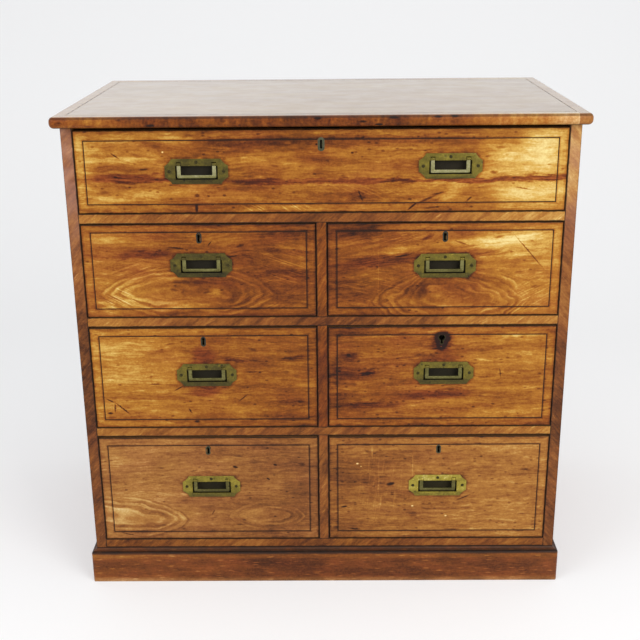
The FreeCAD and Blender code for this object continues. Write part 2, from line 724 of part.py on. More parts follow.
def bail(name, middle, foot, pivot_y, pivot_z):
    """The swinging bail: a U of flat bar with filed edges and a bored knuckle on each arm."""
    half = "(bail_width / 2)"
    low_y = f"({pivot_y} - bail_thick / 2)"
    high_y = f"({pivot_y} + bail_thick / 2)"
    low_z = f"({foot} + bail_lift)"
    slab = block("bail_slab", (f"{middle} - {half}", low_y, low_z),
                 (f"{middle} + {half}", high_y, pivot_z))
    window = block("bail_window", (f"{middle} - {half} + bail_arm", low_y, f"{low_z} + bail_bar"),
                   (f"{middle} + {half} - bail_arm", high_y, pivot_z))
    hoop = cut("Hoop", slab, [window])
    doc.recompute()
    outside = reading(half)
    centre = reading(middle)
    bottom = reading(low_z)
    corners = edge_numbers(
        hoop.Shape, lambda point: alike(abs(point.x - centre), outside) and alike(point.z, bottom))
    corner = reading("bail_corner")
    clipped = doc.addObject("Part::Chamfer", "HoopCorners")
    clipped.Base = hoop
    clipped.Edges = [(number, corner, corner) for number in corners]
    doc.recompute()
    front_y = reading(low_y)
    back_y = reading(high_y)
    head = reading(pivot_z)
    face_edges = edge_numbers(clipped.Shape, lambda point: alike(point.y, front_y))
    face_edges += edge_numbers(clipped.Shape, lambda point: alike(point.y, back_y))
    tops = edge_numbers(clipped.Shape, lambda point: alike(point.z, head))
    soft = reading("bail_soft")
    softened = doc.addObject("Part::Chamfer", "HoopSoftened")
    softened.Base = clipped
    softened.Edges = [(number, soft, soft) for number in face_edges if number not in tops]
    knuckles = []
    bores = []
    for hand in (-1, 1):
        low, _ = mirrored(hand, f"{half} - bail_arm", half)
        start = (f"{middle} + {low}", pivot_y, pivot_z)
        knuckle = doc.addObject("Part::Prism", "knuckle")
        knuckle.Polygon = KNUCKLE_SIDES
        turn = FreeCAD.Rotation(FreeCAD.Vector(0, 0, 1), FreeCAD.Vector(1, 0, 0))
        eighth = FreeCAD.Rotation(FreeCAD.Vector(0, 0, 1), 180 / KNUCKLE_SIDES)
        knuckle.Placement = FreeCAD.Placement(FreeCAD.Vector(), turn.multiply(eighth))
        for axis, place in zip("xyz", start):
            bind(knuckle, f"Placement.Base.{axis}", place)
        bind(knuckle, "Circumradius", "knuckle_radius")
        bind(knuckle, "Height", "bail_arm")
        knuckles.append(knuckle)
        bores.append(rod("bore", start, (1, 0, 0), "pin_radius + pin_play", "bail_arm"))
    return node(name, cut("Bail", fuse("BailBlank", [softened] + knuckles), bores))


# --- Locks ---------------------------------------------------------------------------------------

KEYHOLE_SIDES = 12


def keyhole(name, middle, level, sort, start, deep, growth):
    """The outline of a keyhole cut to a depth: a wide head, a slot and a smaller foot.

    The sort is the keyhole's size against the long drawer's and the radius of its head.
    """
    share, head = sort
    top = f"({level} + {share} * keyhole_rise)"
    bottom = f"({level} - {share} * keyhole_fall)"
    half = f"({share} * keyhole_waist / 2 + {growth})"
    foot = f"{share} * keyhole_foot + {growth}"
    return fuse(name, [
        prism("keyhole_head", (middle, start, top), f"{head} + {growth}", deep, KEYHOLE_SIDES),
        prism("keyhole_foot", (middle, start, bottom), foot, deep, KEYHOLE_SIDES),
        block("keyhole_slot", (f"{middle} - {half}", start, bottom),
              (f"{middle} + {half}", f"{start} + {deep}", top)),
    ])


def drawer_lock(name, middle, top):
    """A cut drawer lock with its bolt drawn back, and the brass thread lining the keyhole.

    Returns the tools for its bed and its keyhole in the drawer front.
    """
    back = f"({FRONT} + front_thick)"
    start = f"({back} - lock_thick)"
    case = block("lock_case", (f"{middle} - lock_width / 2", start, f"{top} - lock_height"),
                 (f"{middle} + lock_width / 2", back, top))
    selvage = block("selvage", (f"{middle} - selvage_width / 2", start, f"{top} - selvage_thick"),
                    (f"{middle} + selvage_width / 2", back, top))
    body = fuse("LockBody", [case, selvage])
    half_wide = "(bolt_width / 2 + bolt_play)"
    half_thick = "(bolt_thick / 2 + bolt_play)"
    channel = block("bolt_channel", (f"{middle} - {half_wide}", f"{BOLT_BACK} - {half_thick}",
                                     f"{top} - bolt_long - 2 * bolt_play"),
                    (f"{middle} + {half_wide}", f"{BOLT_BACK} + {half_thick}", top))
    place = (middle, f"({top} - keyhole_drop)", KEYHOLES.get(name, ("keyhole_short", SHORT_HEAD)))
    wood = "(front_thick - lock_thick)"
    keyway = keyhole("Keyway", *place, start, "keyway_deep", "0")
    case_open = cut("LockCase", body, [channel, keyway])
    lining = keyhole("ThreadOuter", *place, FRONT, wood, "thread_wall")
    opening = keyhole("ThreadInner", *place, FRONT, wood, "0")
    thread = cut("Thread", lining, [opening])
    node(f"{name}_drawer_lock", group("Lock", [case_open, thread]))

    bolt_top = f"({top} - bolt_play)"
    low = (f"{middle} - bolt_width / 2", f"{BOLT_BACK} - bolt_thick / 2", f"{bolt_top} - bolt_long")
    high = (f"{middle} + bolt_width / 2", f"{BOLT_BACK} + bolt_thick / 2", bolt_top)
    node(f"{name}_lock_bolt", block("LockBolt", low, high))
    return [body, lining]


# --- Drawers -------------------------------------------------------------------------------------

def tails(name, across, foot, head, count, narrow_y, wide_y):
    """A row of dovetails up the end of a drawer side, narrow at the root and wide at the tip."""
    row = []
    pitch = f"(({head} - {foot}) / {count})"
    for number in range(count):
        middle = f"({foot} + {number + 0.5} * {pitch})"
        narrow = f"({pitch} * tail_share / 2)"
        root = (f"{middle} - {narrow}", f"{middle} + {narrow}")
        tip = (f"{middle} - {narrow} - tail_flare", f"{middle} + {narrow} + tail_flare")
        if reading(wide_y) < reading(narrow_y):
            row.append(taper(name, across, (wide_y, narrow_y), tip, root))
        else:
            row.append(taper(name, across, (narrow_y, wide_y), root, tip))
    return row


def drawer(name):
    """One drawer: its front, its dovetailed box, its flush handles and its lock."""
    row, (left, right), plates = DRAWERS[name]
    runner, ceiling = ROWS[row]
    foot, head = f"({runner} + gap_under)", f"({ceiling} - {row}_gap)"
    back = f"({FRONT} + front_thick)"
    rear = f"({FRONT} + drawer_depth - box_thick)"
    end = f"({FRONT} + drawer_depth)"
    panel_foot = f"({runner} + panel_rise)"
    panel_head = f"({panel_foot} + panel_thick)"
    rear_head = f"({head} - back_drop)"
    side_foot = f"({runner} + slide_play)"
    count = max(3, round((reading(head) - reading(foot)) / reading("tail_spacing")))

    # Sides, each with half-blind tails into the front and through tails into the back.
    groove_start = f"({back} - groove_deep)"
    sides = []
    sockets = []
    rear_sockets = []
    left_inside = f"({left} + box_thick)"
    right_inside = f"({right} - box_thick)"
    for across, groove in (
            ((left, left_inside), (f"{left_inside} - groove_deep", left_inside)),
            ((right_inside, right), (right_inside, f"{right_inside} + groove_deep"))):
        plank = block("side_plank", (across[0], back, side_foot), (across[1], rear, head))
        heel = block("side_heel", (across[0], rear, side_foot), (across[1], end, panel_head))
        front_tails = tails("front_tail", across, foot, head, count, back, f"({FRONT} + lap_thick)")
        rear_tails = tails("rear_tail", across, panel_head, rear_head, count, rear, end)
        channel = block("groove", (groove[0], groove_start, panel_foot), (groove[1], end, panel_head))
        blank = fuse("SideBlank", [plank, heel] + front_tails + rear_tails)
        sides.append(cut("DrawerSide", blank, [channel]))
        sockets += front_tails
        rear_sockets += rear_tails
    rear_plank = block("rear_plank", (left, rear, panel_head), (right, end, rear_head))
    rear_board = cut("DrawerBack", rear_plank, rear_sockets)
    panel_left = f"({left_inside} - groove_deep)"
    panel_right = f"({right_inside} + groove_deep)"
    panel = block("drawer_bottom", (panel_left, groove_start, panel_foot), (panel_right, end, panel_head))
    node(f"{name}_drawer_box", group("DrawerBox", sides + [rear_board, panel]))

    # The front: eased edges, beds for the brass, sockets for the tails.
    brass = []
    beds = []
    for side, (offset, rise) in plates.items():
        middle = f"({middle_of(name)} + {offset})"
        level = f"(({foot} + {head}) / 2 + {rise})"
        solids, bed = flush_handle(f"{name}_{side}bail", middle, level)
        brass += solids
        beds += bed
    node(f"{name}_drawer_plates", group("Plates", brass))
    lock_beds = drawer_lock(name, middle_of(name), head)
    board = block("front_board", (left, FRONT, foot), (right, back, head))
    doc.recompute()
    front_y = reading(FRONT)
    eased = doc.addObject("Part::Chamfer", "FrontEased")
    eased.Base = board
    eased.Edges = [(number, reading("front_ease"), reading("front_ease"))
                   for number in edge_numbers(board.Shape, lambda point: alike(point.y, front_y))]
    groove = block("front_groove", (panel_left, groove_start, panel_foot), (panel_right, back, panel_head))
    node(f"{name}_drawer_front", cut("DrawerFront", eased, sockets + [groove] + beds + lock_beds))


# --- The whole chest -----------------------------------------------------------------------------

def check_and_write():
    """Refuse a failed feature or a bad solid, then write each sub-part to its own file."""
    doc.recompute()
    for thing in doc.Objects:
        if "Invalid" in thing.State or "Error" in thing.State:
            raise ValueError(f"{thing.Name} ({thing.Label}) failed: {thing.State}")
    os.makedirs("parts", exist_ok=True)
    for piece in nodes:
        if piece.Shape.isNull() or not piece.Shape.isValid() or not piece.Shape.Solids:
            raise ValueError(f"{piece.Label} has no valid solid")
        piece.Shape.exportStep(f"parts/{piece.Label}.step")
        print(f"{piece.Label}: {len(piece.Shape.Solids)} solids, {piece.Shape.Volume / 1000:.1f} cm3")


top_board()
side_panel(-1, "left_side_panel")
side_panel(1, "right_side_panel")
rail("bottom_rail", ROWS["lower"][0], None)
rail("lower_rail", ROWS["middle"][0], "lower")
rail("middle_rail", ROWS["upper"][0], "middle")
rail("upper_rail", ROWS["long"][0], "upper")
muntins()
bottom_board()
back_boards()
runners()
guides()
stops()
plinth_front()
plinth_sides()
plinth_back()
plinth_blocks()
for drawer_name in DRAWERS:
    drawer(drawer_name)
check_and_write()
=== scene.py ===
import json
import math
import random
from functools import partialmethod, reduce

import bmesh
import bpy
from mathutils import Matrix, Vector


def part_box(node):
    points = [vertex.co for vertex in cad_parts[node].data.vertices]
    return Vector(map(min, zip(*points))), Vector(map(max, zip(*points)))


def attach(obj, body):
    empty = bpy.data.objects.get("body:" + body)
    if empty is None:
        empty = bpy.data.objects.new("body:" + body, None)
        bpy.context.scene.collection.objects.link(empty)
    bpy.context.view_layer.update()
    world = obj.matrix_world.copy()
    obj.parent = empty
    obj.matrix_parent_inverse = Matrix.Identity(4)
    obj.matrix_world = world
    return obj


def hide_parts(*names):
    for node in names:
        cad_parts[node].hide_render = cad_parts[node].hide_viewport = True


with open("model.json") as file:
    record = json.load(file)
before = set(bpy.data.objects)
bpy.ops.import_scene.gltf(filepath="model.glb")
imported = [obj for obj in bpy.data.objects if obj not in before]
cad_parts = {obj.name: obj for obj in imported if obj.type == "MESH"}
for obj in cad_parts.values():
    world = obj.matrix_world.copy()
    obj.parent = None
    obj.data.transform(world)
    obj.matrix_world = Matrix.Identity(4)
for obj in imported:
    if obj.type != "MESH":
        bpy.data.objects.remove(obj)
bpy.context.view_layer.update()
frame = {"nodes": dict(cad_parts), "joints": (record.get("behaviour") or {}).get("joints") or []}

random.seed(1840)
MM = 0.001

# --------------------------------------------------
# The room: a seamless pale sheet under and behind the chest, one broad window light from the
# right front, a weaker one from the left, one overhead, and even light from all round.

scene = bpy.context.scene
scene.view_settings.view_transform = "Standard"


def points_in(geometry):
    return [item for item in geometry if isinstance(item, bmesh.types.BMVert)]


def set_out(name, mesh, material):
    """Turn a finished mesh into an object of one material."""
    data = bpy.data.meshes.new(name)
    mesh.to_mesh(data)
    mesh.free()
    data.materials.append(material)
    piece = bpy.data.objects.new(name, data)
    scene.collection.objects.link(piece)
    return piece


FLOOR_NEAR, FLOOR_FAR, SWEEP, WALL_HIGH, SHEET_HALF = -9.0, 1.1, 2.6, 4.0, 9.0
sheet = bmesh.new()
near, far = (sheet.verts.new((-SHEET_HALF, y, 0)) for y in (FLOOR_NEAR, FLOOR_FAR))
sheet.edges.new((near, far))
swept = bmesh.ops.spin(sheet, geom=[far], cent=(0, FLOOR_FAR, SWEEP), axis=(1, 0, 0),
                       angle=math.radians(90), steps=24, use_merge=False)
wall = bmesh.ops.extrude_vert_indiv(sheet, verts=points_in(swept["geom_last"]))
bmesh.ops.translate(sheet, verts=wall["verts"], vec=(0, 0, WALL_HIGH))
swept = bmesh.ops.extrude_edge_only(sheet, edges=sheet.edges[:])
bmesh.ops.translate(sheet, verts=points_in(swept["geom"]), vec=(2 * SHEET_HALF, 0, 0))
bmesh.ops.recalc_face_normals(sheet, faces=sheet.faces[:])
for face in sheet.faces:
    face.smooth = True

# The paper is part lit by the lamps, so that the chest's shadow falls on it, and part bright by
# itself, so that it stays an even near-white.
PAPER_GREY, PAPER_GLOW, WORLD_GLOW = 0.62, 0.36, 0.62
white = bpy.data.materials.new("white_paper")
white.use_nodes = True
tree = white.node_tree
tree.nodes.clear()
lit, glow, rays, seen, strength, both, out = (tree.nodes.new(f"ShaderNode{kind}") for kind in (
    "BsdfDiffuse", "Emission", "LightPath", "Math", "Math", "AddShader", "OutputMaterial"))
lit.inputs["Color"].default_value = (PAPER_GREY, PAPER_GREY, PAPER_GREY, 1)
glow.inputs["Color"].default_value = (0.985, 0.985, 1.0, 1)
seen.operation, strength.operation = "MAXIMUM", "MULTIPLY"
strength.inputs[1].default_value = PAPER_GLOW
for source, target in (
        (rays.outputs["Is Camera Ray"], seen.inputs[0]),
        (rays.outputs["Is Glossy Ray"], seen.inputs[1]),
        (seen.outputs[0], strength.inputs[0]), (strength.outputs[0], glow.inputs["Strength"]),
        (lit.outputs[0], both.inputs[0]), (glow.outputs[0], both.inputs[1]),
        (both.outputs[0], out.inputs["Surface"])):
    tree.links.new(source, target)
backdrop = set_out("paper_sheet", sheet, white)

world = bpy.data.worlds.new("even_light")
scene.world = world
world.use_nodes = True
even_light = world.node_tree.nodes["Background"].inputs
even_light["Color"].default_value = (0.97, 0.985, 1.0, 1)
even_light["Strength"].default_value = WORLD_GLOW


def window(name, place, target, size, power, colour=(1.0, 1.0, 1.0)):
    """A broad soft square lamp hung at a place and turned to a target."""
    lamp = bpy.data.lights.new(name, "AREA")
    lamp.shape = "SQUARE"
    lamp.size = size
    lamp.energy = power
    lamp.color = colour
    hung = bpy.data.objects.new(name, lamp)
    hung.location = place
    hung.rotation_euler = (Vector(target) - Vector(place)).to_track_quat("-Z", "Y").to_euler()
    scene.collection.objects.link(hung)


window("right_window", (2.2, -2.9, 2.3), (0.1, 0, 0.5), 2.0, 70, (1.0, 0.985, 0.96))
window("left_window", (-2.6, -2.4, 2.2), (0, 0, 0.5), 2.0, 34, (0.96, 0.98, 1.0))
window("ceiling", (0.0, -0.4, 3.4), (0, 0, 0.5), 2.6, 26)

# The camera stands a little over two metres in front of the chest and looks down on it.
camera_data = bpy.data.cameras.new("camera")
camera_data.sensor_width = 36
camera_data.lens = 59.57
camera_data.shift_x, camera_data.shift_y = -0.0028, 0.0011
camera = bpy.data.objects.new("camera", camera_data)
scene.collection.objects.link(camera)
yaw, pitch, roll = math.radians(0.5615), math.radians(90 - 19.162), math.radians(-0.5362)
stand = Matrix.Translation((0.01709, -2.09436, 1.18095))
camera.matrix_world = (stand @ Matrix.Rotation(yaw, 4, "Z") @ Matrix.Rotation(pitch, 4, "X")
                       @ Matrix.Rotation(roll, 4, "Z"))
scene.camera = camera


# --------------------------------------------------
# The carcass: two camphor side boards with three rails and a bottom rail between them and short
# uprights between the small drawers, their front edges faced with slanting cross-cut veneer.

def paint(red, green, blue):
    """A display colour, as a painter would match it by eye, in the renderer's own numbers."""
    parts = [value / 255 for value in (red, green, blue)]
    return tuple(part / 12.92 if part <= 0.04045 else ((part + 0.055) / 1.055) ** 2.4
                 for part in parts)


def tints(*stops):
    """Display colours along a scale of tone, each as its tone and its red, green and blue."""
    return [(tone, paint(*colour)) for tone, *colour in stops]


class Amount:
    """A number that changes over a surface, for plain sums."""

    def __init__(self, finish, socket):
        self.finish = finish
        self.socket = socket

    def maths(self, operation, *others):
        node = self.finish.add("ShaderNodeMath", operation=operation)
        for socket, value in zip(node.inputs, (self,) + others):
            self.finish.put(socket, value)
        return Amount(self.finish, node.outputs[0])

    __add__ = __radd__ = partialmethod(maths, "ADD")
    __sub__ = partialmethod(maths, "SUBTRACT")
    __mul__ = __rmul__ = partialmethod(maths, "MULTIPLY")
    size = partialmethod(maths, "ABSOLUTE")
    part = partialmethod(maths, "FRACT")
    smaller = partialmethod(maths, "MINIMUM")
    larger = partialmethod(maths, "MAXIMUM")
    raised = partialmethod(maths, "POWER")

    def __neg__(self):
        return self * -1

    def __rsub__(self, other):
        return -self + other

    def sway(self, strength):
        """A cloudy change from 0 to 1 as a swing to both sides of nothing."""
        return (self - 0.5) * strength

    def between(self, start, end, low=0.0, high=1.0):
        """Low up to the start, high from the end on, and a smooth change between them."""
        node = self.finish.add("ShaderNodeMapRange", interpolation_type="SMOOTHSTEP")
        for name, value in (("Value", self), ("From Min", start), ("From Max", end),
                            ("To Min", low), ("To Max", high)):
            self.finish.put(node.inputs[name], value)
        return Amount(self.finish, node.outputs["Result"])


class Finish:
    """A material worked out point by point from places on the chest, in millimetres."""

    def __init__(self, name, seed):
        self.material = bpy.data.materials.new(name)
        self.material.use_nodes = True
        self.tree = self.material.node_tree
        self.tree.nodes.clear()
        self.seed = seed
        self.shader = self.add("ShaderNodeBsdfPrincipled")
        output = self.add("ShaderNodeOutputMaterial")
        self.tree.links.new(self.shader.outputs[0], output.inputs["Surface"])
        scale = self.add("ShaderNodeVectorMath", operation="SCALE")
        scale.inputs["Scale"].default_value = 1 / MM
        self.tree.links.new(self.add("ShaderNodeTexCoord").outputs["Object"], scale.inputs[0])
        self.place = scale.outputs[0]

    def add(self, kind, **settings):
        node = self.tree.nodes.new(kind)
        for key, value in settings.items():
            setattr(node, key, value)
        return node

    def put(self, socket, value):
        """Feed a socket with an amount, another socket or a plain value."""
        if isinstance(value, Amount):
            value = value.socket
        if isinstance(value, bpy.types.NodeSocket):
            self.tree.links.new(value, socket)
        elif isinstance(value, tuple) and len(value) == 3 and socket.type == "RGBA":
            socket.default_value = value + (1,)
        else:
            socket.default_value = value

    def axes(self, place=None):
        node = self.add("ShaderNodeSeparateXYZ")
        self.put(node.inputs[0], place or self.place)
        return [Amount(self, socket) for socket in node.outputs]

    def point(self, x, y, z):
        node = self.add("ShaderNodeCombineXYZ")
        for socket, value in zip(node.inputs, (x, y, z)):
            self.put(socket, value)
        return node.outputs[0]

    def fitted(self, centre, reach, turn=0.0, place=None):
        """The place as seen from a centre, turned in the front's plane and divided by a reach."""
        node = self.add("ShaderNodeMapping", vector_type="TEXTURE")
        self.put(node.inputs["Vector"], place or self.place)
        node.inputs["Location"].default_value = centre
        node.inputs["Rotation"].default_value = (0, -math.radians(turn), 0)
        node.inputs["Scale"].default_value = reach
        return node.outputs[0]

    def fresh(self, kind, reach, turn, place, **settings):
        """A pattern of grains as long as the reach, from a part of it that nothing else uses."""
        self.seed += 17
        node = self.add(kind, **settings)
        centre = (31.0 * self.seed, 57.0 * self.seed, 0.0)
        self.put(node.inputs["Vector"], self.fitted(centre, reach, turn, place))
        node.inputs["Scale"].default_value = 1.0
        return node

    def noise(self, reach, detail=2.0, rough=0.5, turn=0.0, place=None):
        """Cloudy change from 0 to 1."""
        node = self.fresh("ShaderNodeTexNoise", reach, turn, place, noise_dimensions="3D")
        node.inputs["Detail"].default_value = detail
        node.inputs["Roughness"].default_value = rough
        return Amount(self, node.outputs[0])

    def flecks(self, reach, share, turn=0.0, place=None):
        """Small separate spots, each about a third of the reach across, in a share of the cells."""
        node = self.fresh("ShaderNodeTexVoronoi", reach, turn, place, feature="F1")
        chance = self.axes(node.outputs["Color"])[0]
        near = Amount(self, node.outputs["Distance"]).between(0.38, 0.12)
        return near * chance.between(1 - share, 1 - share * 0.5)

    def spot(self, middle, size, edge, place=None, turn=0.0):
        """One soft-edged patch on the front: 1 in its middle and 0 outside."""
        node = self.add("ShaderNodeTexGradient", gradient_type="SPHERICAL")
        (x, z), (wide, high) = middle, size
        self.put(node.inputs["Vector"], self.fitted((x, 0, z), (wide, 1e6, high), turn, place))
        return Amount(self, node.outputs[1]).between(0.0, 1.0 - edge)

    def blend(self, amount, first, second):
        node = self.add("ShaderNodeMix", data_type="RGBA", clamp_factor=True)
        for index, value in ((0, amount), (6, first), (7, second)):
            self.put(node.inputs[index], value)
        return node.outputs[2]

    def either(self, amount, first, second):
        """One number where the amount is 0 and another where it is 1."""
        return first + (second - first) * amount

    def ramp(self, amount, stops):
        node = self.add("ShaderNodeValToRGB")
        self.put(node.inputs[0], amount)
        marks = node.color_ramp.elements
        while len(marks) < len(stops):
            marks.new(0.5)
        for mark, (where, colour) in zip(marks, stops):
            mark.position = where
            mark.color = colour + (1,)
        return node.outputs[0]

    def finish_off(self, colour, height, roughness, depth=0.3, shine=0.2):
        """Join the colour, the height in millimetres and the roughness to the shader."""
        self.put(self.shader.inputs["Base Color"], colour)
        self.put(self.shader.inputs["Roughness"], roughness)
        self.shader.inputs["Specular IOR Level"].default_value = shine
        bump = self.add("ShaderNodeBump")
        bump.inputs["Strength"].default_value = depth
        bump.inputs["Distance"].default_value = MM
        self.put(bump.inputs["Height"], height)
        self.tree.links.new(bump.outputs[0], self.shader.inputs["Normal"])
        return self.material


# Camphor wood from its darkest veins to its palest wax-worn patches, in a golden, a red and a
# dull sort, and the bare wood that never had a polish.
GOLDEN = tints((0, 44, 19, 4), (0.2, 100, 50, 12), (0.4, 146, 82, 22), (0.6, 182, 120, 40),
               (0.8, 215, 170, 82), (1, 240, 218, 148))
RED = tints((0, 36, 13, 8), (0.2, 86, 35, 13), (0.4, 132, 61, 22), (0.6, 168, 92, 38),
            (0.8, 200, 136, 74), (1, 226, 186, 138))
DULL = tints((0, 40, 24, 14), (0.2, 94, 62, 36), (0.4, 138, 94, 54), (0.6, 172, 124, 76),
             (0.8, 204, 162, 114), (1, 232, 204, 166))
BARE = tints((0, 60, 36, 18), (0.35, 116, 78, 44), (0.65, 162, 120, 76), (1, 200, 166, 118))
# Near-black for painted shade: in gaps, in quirks and under edges.
SHADE_BLACK = paint(15, 8, 4)
BARE_ROUGH = 0.7
FACE = -263.5
BEHIND_FACING = (FACE + 1.2, FACE + 1.8)
STILE_INSIDE, STILE_OUTSIDE = 430.0, 450.0
RAIL_HALF, MUNTIN_HALF = 9.0, 9.5
RAILS = ("bottom_rail", "lower_rail", "middle_rail", "upper_rail")


def camphor(finish, tone, warm, dulled=0.0):
    """The colour of polished camphor, golden or red by the warmth, and part of the dull sort."""
    colour = finish.blend(warm, finish.ramp(tone, GOLDEN), finish.ramp(tone, RED))
    return finish.blend(dulled, colour, finish.ramp(tone, DULL)) if dulled else colour


def polish(finish, tone, cloud=(60, 60, 40)):
    """Old wax polish: a slight relief of tone and pores, and a shine that varies in clouds."""
    pores = finish.noise((7, 7, 0.7), 1.0)
    dull = finish.noise(cloud, 3.0, 0.6)
    return tone * 0.5 + pores * 0.5, dull.between(0.3, 0.75, 0.32, 0.5)


def edge_shaded(finish, colour, to_edge, reach=1.6):
    """Painted shade of the gap along an edge, in an uneven dark line about as wide as the reach."""
    uneven = finish.noise((10, 10, 10))
    near = (to_edge + uneven.sway(reach * 1.4)).between(reach * 1.3, reach * 0.5)
    return finish.blend(near * 0.88, colour, SHADE_BLACK)


def bare(finish, reach, base=0.45):
    """The colour of planed, unpolished wood browned by age, its grain as long as the reach."""
    bands = finish.noise(reach, 4.0, 0.6)
    fine = finish.noise(tuple(length / 6 for length in reach), 3.0, 0.6)
    stains = finish.noise((120, 120, 120), 3.0)
    tone = base + bands.sway(0.5) + fine.sway(0.24) + stains.sway(0.36)
    return finish.ramp(tone, BARE), fine


def part_bare(finish, polished, relief, unpolished, reach, **shine):
    """A board that is polished, but bare where the amount called unpolished is 1."""
    colour = finish.blend(unpolished, polished, bare(finish, reach)[0])
    height, roughness = polish(finish, relief, **shine)
    return finish.finish_off(colour, height, finish.either(unpolished, roughness, BARE_ROUGH))


def facing(finish, turn, level):
    """The tone of cross-cut veneer: soft slanting bands and pale flecks about a level."""
    bands = finish.noise((52, 52, 11), 3.0, 0.6, turn)
    slanted = finish.noise((18, 18, 4), 3.0, 0.6, turn + 6)
    grit = finish.noise((4, 4, 3), 2.0, 0.6)
    pale = finish.noise((16, 16, 2.6), 1.0, 0.5, turn - 8)
    clouds = finish.noise((60, 60, 60))
    return (level + bands.sway(0.6) + slanted.sway(0.36) + grit.sway(0.24) + clouds.sway(0.35)
            + pale.between(0.64, 0.78) * 0.16)


def rail_wood():
    """The rails: darkest in the middle, paler towards the ends, most of all at the upper right,
    partly as painted window light.
    """
    finish = Finish("rail_wood", 90)
    x, y, z = finish.axes()
    above_foot = z.between(120, 300)
    # The ends are paler partly as painted window light, most of all on the upper rail at the right.
    ends = (x.between(120, 420) * (z.between(620, 700) * 0.16 + 0.16)
            + (-x).between(200, 420) * 0.14 - x.size().between(170, 20) * 0.07)
    tone = facing(finish, 38, ends * above_foot + above_foot * 0.035 + 0.33)
    warm = finish.noise((70, 70, 70)).sway(1.6) + 0.2 - (ends * above_foot) * 1.6
    middles = [sum(corner.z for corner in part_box(name)) / 2 / MM for name in RAILS]
    off_middle = reduce(Amount.smaller, [(z - middle).size() for middle in middles])
    # Painted shade of the gaps along the rails' edges.
    polished = edge_shaded(finish, camphor(finish, tone, warm, 0.22), RAIL_HALF - off_middle)
    return part_bare(finish, polished, tone, y.between(*BEHIND_FACING), (260, 14, 14))


def muntin_wood():
    """The short uprights between the small drawers: red-brown, the middle one darkest."""
    finish = Finish("muntin_wood", 140)
    x, y, z = finish.axes()
    tone = facing(finish, 60, z.between(340, 380) * z.between(540, 500) * -0.07 + 0.33)
    warm = finish.noise((70, 70, 70)).sway(1.6) + 0.4
    polished = camphor(finish, tone, warm, z.between(330, 300) * 0.3)
    # Painted shade of the gaps beside the uprights.
    polished = edge_shaded(finish, polished, MUNTIN_HALF - x.size())
    return part_bare(finish, polished, tone, y.between(*BEHIND_FACING), (14, 14, 240))


def side_wood(name, turn, level, redness, seed, hand, sheen_share):
    """A side board: the facing on its front edge, upright polished grain outside, bare inside.

    The level and the redness are each worked out from the height; the level rises towards the top
    partly as painted window light.
    """
    finish = Finish(name, seed)
    x, y, z = finish.axes()
    edge_tone = facing(finish, turn, level(z))
    drift = finish.noise((200, 120, 240))
    upright = finish.point(x, y + drift.sway(90), z)
    broad = finish.noise((40, 26, 420), 4.0, 0.6, place=upright)
    veins = finish.noise((20, 5, 170), 3.0, 0.6, place=upright)
    pores = finish.noise((4, 1.6, 30), 2.0, 0.6, place=upright)
    side_tone = (0.42 + broad.sway(0.7) + veins.sway(0.45) + pores.sway(0.3)
                 - finish.flecks((12, 12, 30), 0.1) * 0.2)
    behind = y.between(*BEHIND_FACING)
    tone = finish.either(behind, edge_tone, side_tone)
    drawn_out = finish.point(x, y, z * (behind * -0.75 + 1))
    warm = finish.noise((90, 90, 90), place=drawn_out).sway(1.6) + redness(z)
    polished = camphor(finish, tone, warm, behind * -0.4 + 0.4)
    # A painted pale sheen of window light lies on the polish near the top, and painted shade beside
    # the drawers and along the outside edge.
    painted_sheen = finish.noise((40, 40, 30), turn=turn).between(0.3, 0.66, 0.4, 1.3)
    polished = finish.blend(z.between(640, 800) * painted_sheen * (behind * -0.8 + 1) * sheen_share, polished,
                            paint(196, 156, 142))
    across = x.size()
    polished = edge_shaded(finish, polished, (across - STILE_INSIDE).smaller(
        -across + behind * 10 + (STILE_OUTSIDE + 1)))
    inside = (x * hand).between(STILE_OUTSIDE - 0.4, STILE_OUTSIDE - 1.4) * behind
    return part_bare(finish, polished, tone, inside, (14, 14, 240), cloud=(60, 70, 320))


def assign(node, material):
    """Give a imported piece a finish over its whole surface."""
    mesh = frame["nodes"][node].data
    mesh.materials.clear()
    mesh.materials.append(material)


# Each side's level rises towards the top partly as painted window light, and its last number is its
# share of painted sheen.
assign("left_side_panel", side_wood(
    "left_side_wood", 50, lambda z: z.between(240, 330) * -0.08 + z.between(540, 600) * 0.22 + 0.3,
    lambda z: z.between(600, 800) * 0.3 + 0.6, 3, -1, 0.26))
assign("right_side_panel", side_wood(
    "right_side_wood", -50,
    lambda z: (z.between(240, 330) * -0.05 + z.between(440, 600) * 0.14
               + z.between(700, 830) * 0.26 + 0.3),
    lambda z: z.between(700, 800) * -0.5 + 0.5, 40, 1, 0.16))
veneered_rails = rail_wood()
for name in RAILS:
    assign(name, veneered_rails)
assign("muntins", muntin_wood())


# --------------------------------------------------
# The top: one wide board with a rounded edge, a band of cross-cut veneer all round and a dark line
# inside it, bleached by light and polished by use, and paler still on its upper face by a painted
# sheen.

WELD, FLAT = 0.01 * MM, math.radians(0.6)


def copied(node):
    """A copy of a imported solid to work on, its facets joined."""
    mesh = bmesh.new()
    mesh.from_mesh(frame["nodes"][node].data)
    bmesh.ops.remove_doubles(mesh, verts=mesh.verts, dist=WELD)
    return mesh


def planed(mesh):
    """Take the needless edges out of flat faces."""
    bmesh.ops.dissolve_limit(mesh, angle_limit=FLAT, verts=mesh.verts, edges=mesh.edges)


def sliced(mesh, point, normal, clear_outer=False):
    """Cut a whole mesh along a plane, and give the edges of the cut."""
    whole = mesh.verts[:] + mesh.edges[:] + mesh.faces[:]
    cut = bmesh.ops.bisect_plane(mesh, geom=whole, dist=0.001 * MM, plane_co=point,
                                 plane_no=normal, clear_outer=clear_outer)
    return [item for item in cut["geom_cut"] if isinstance(item, bmesh.types.BMEdge)]


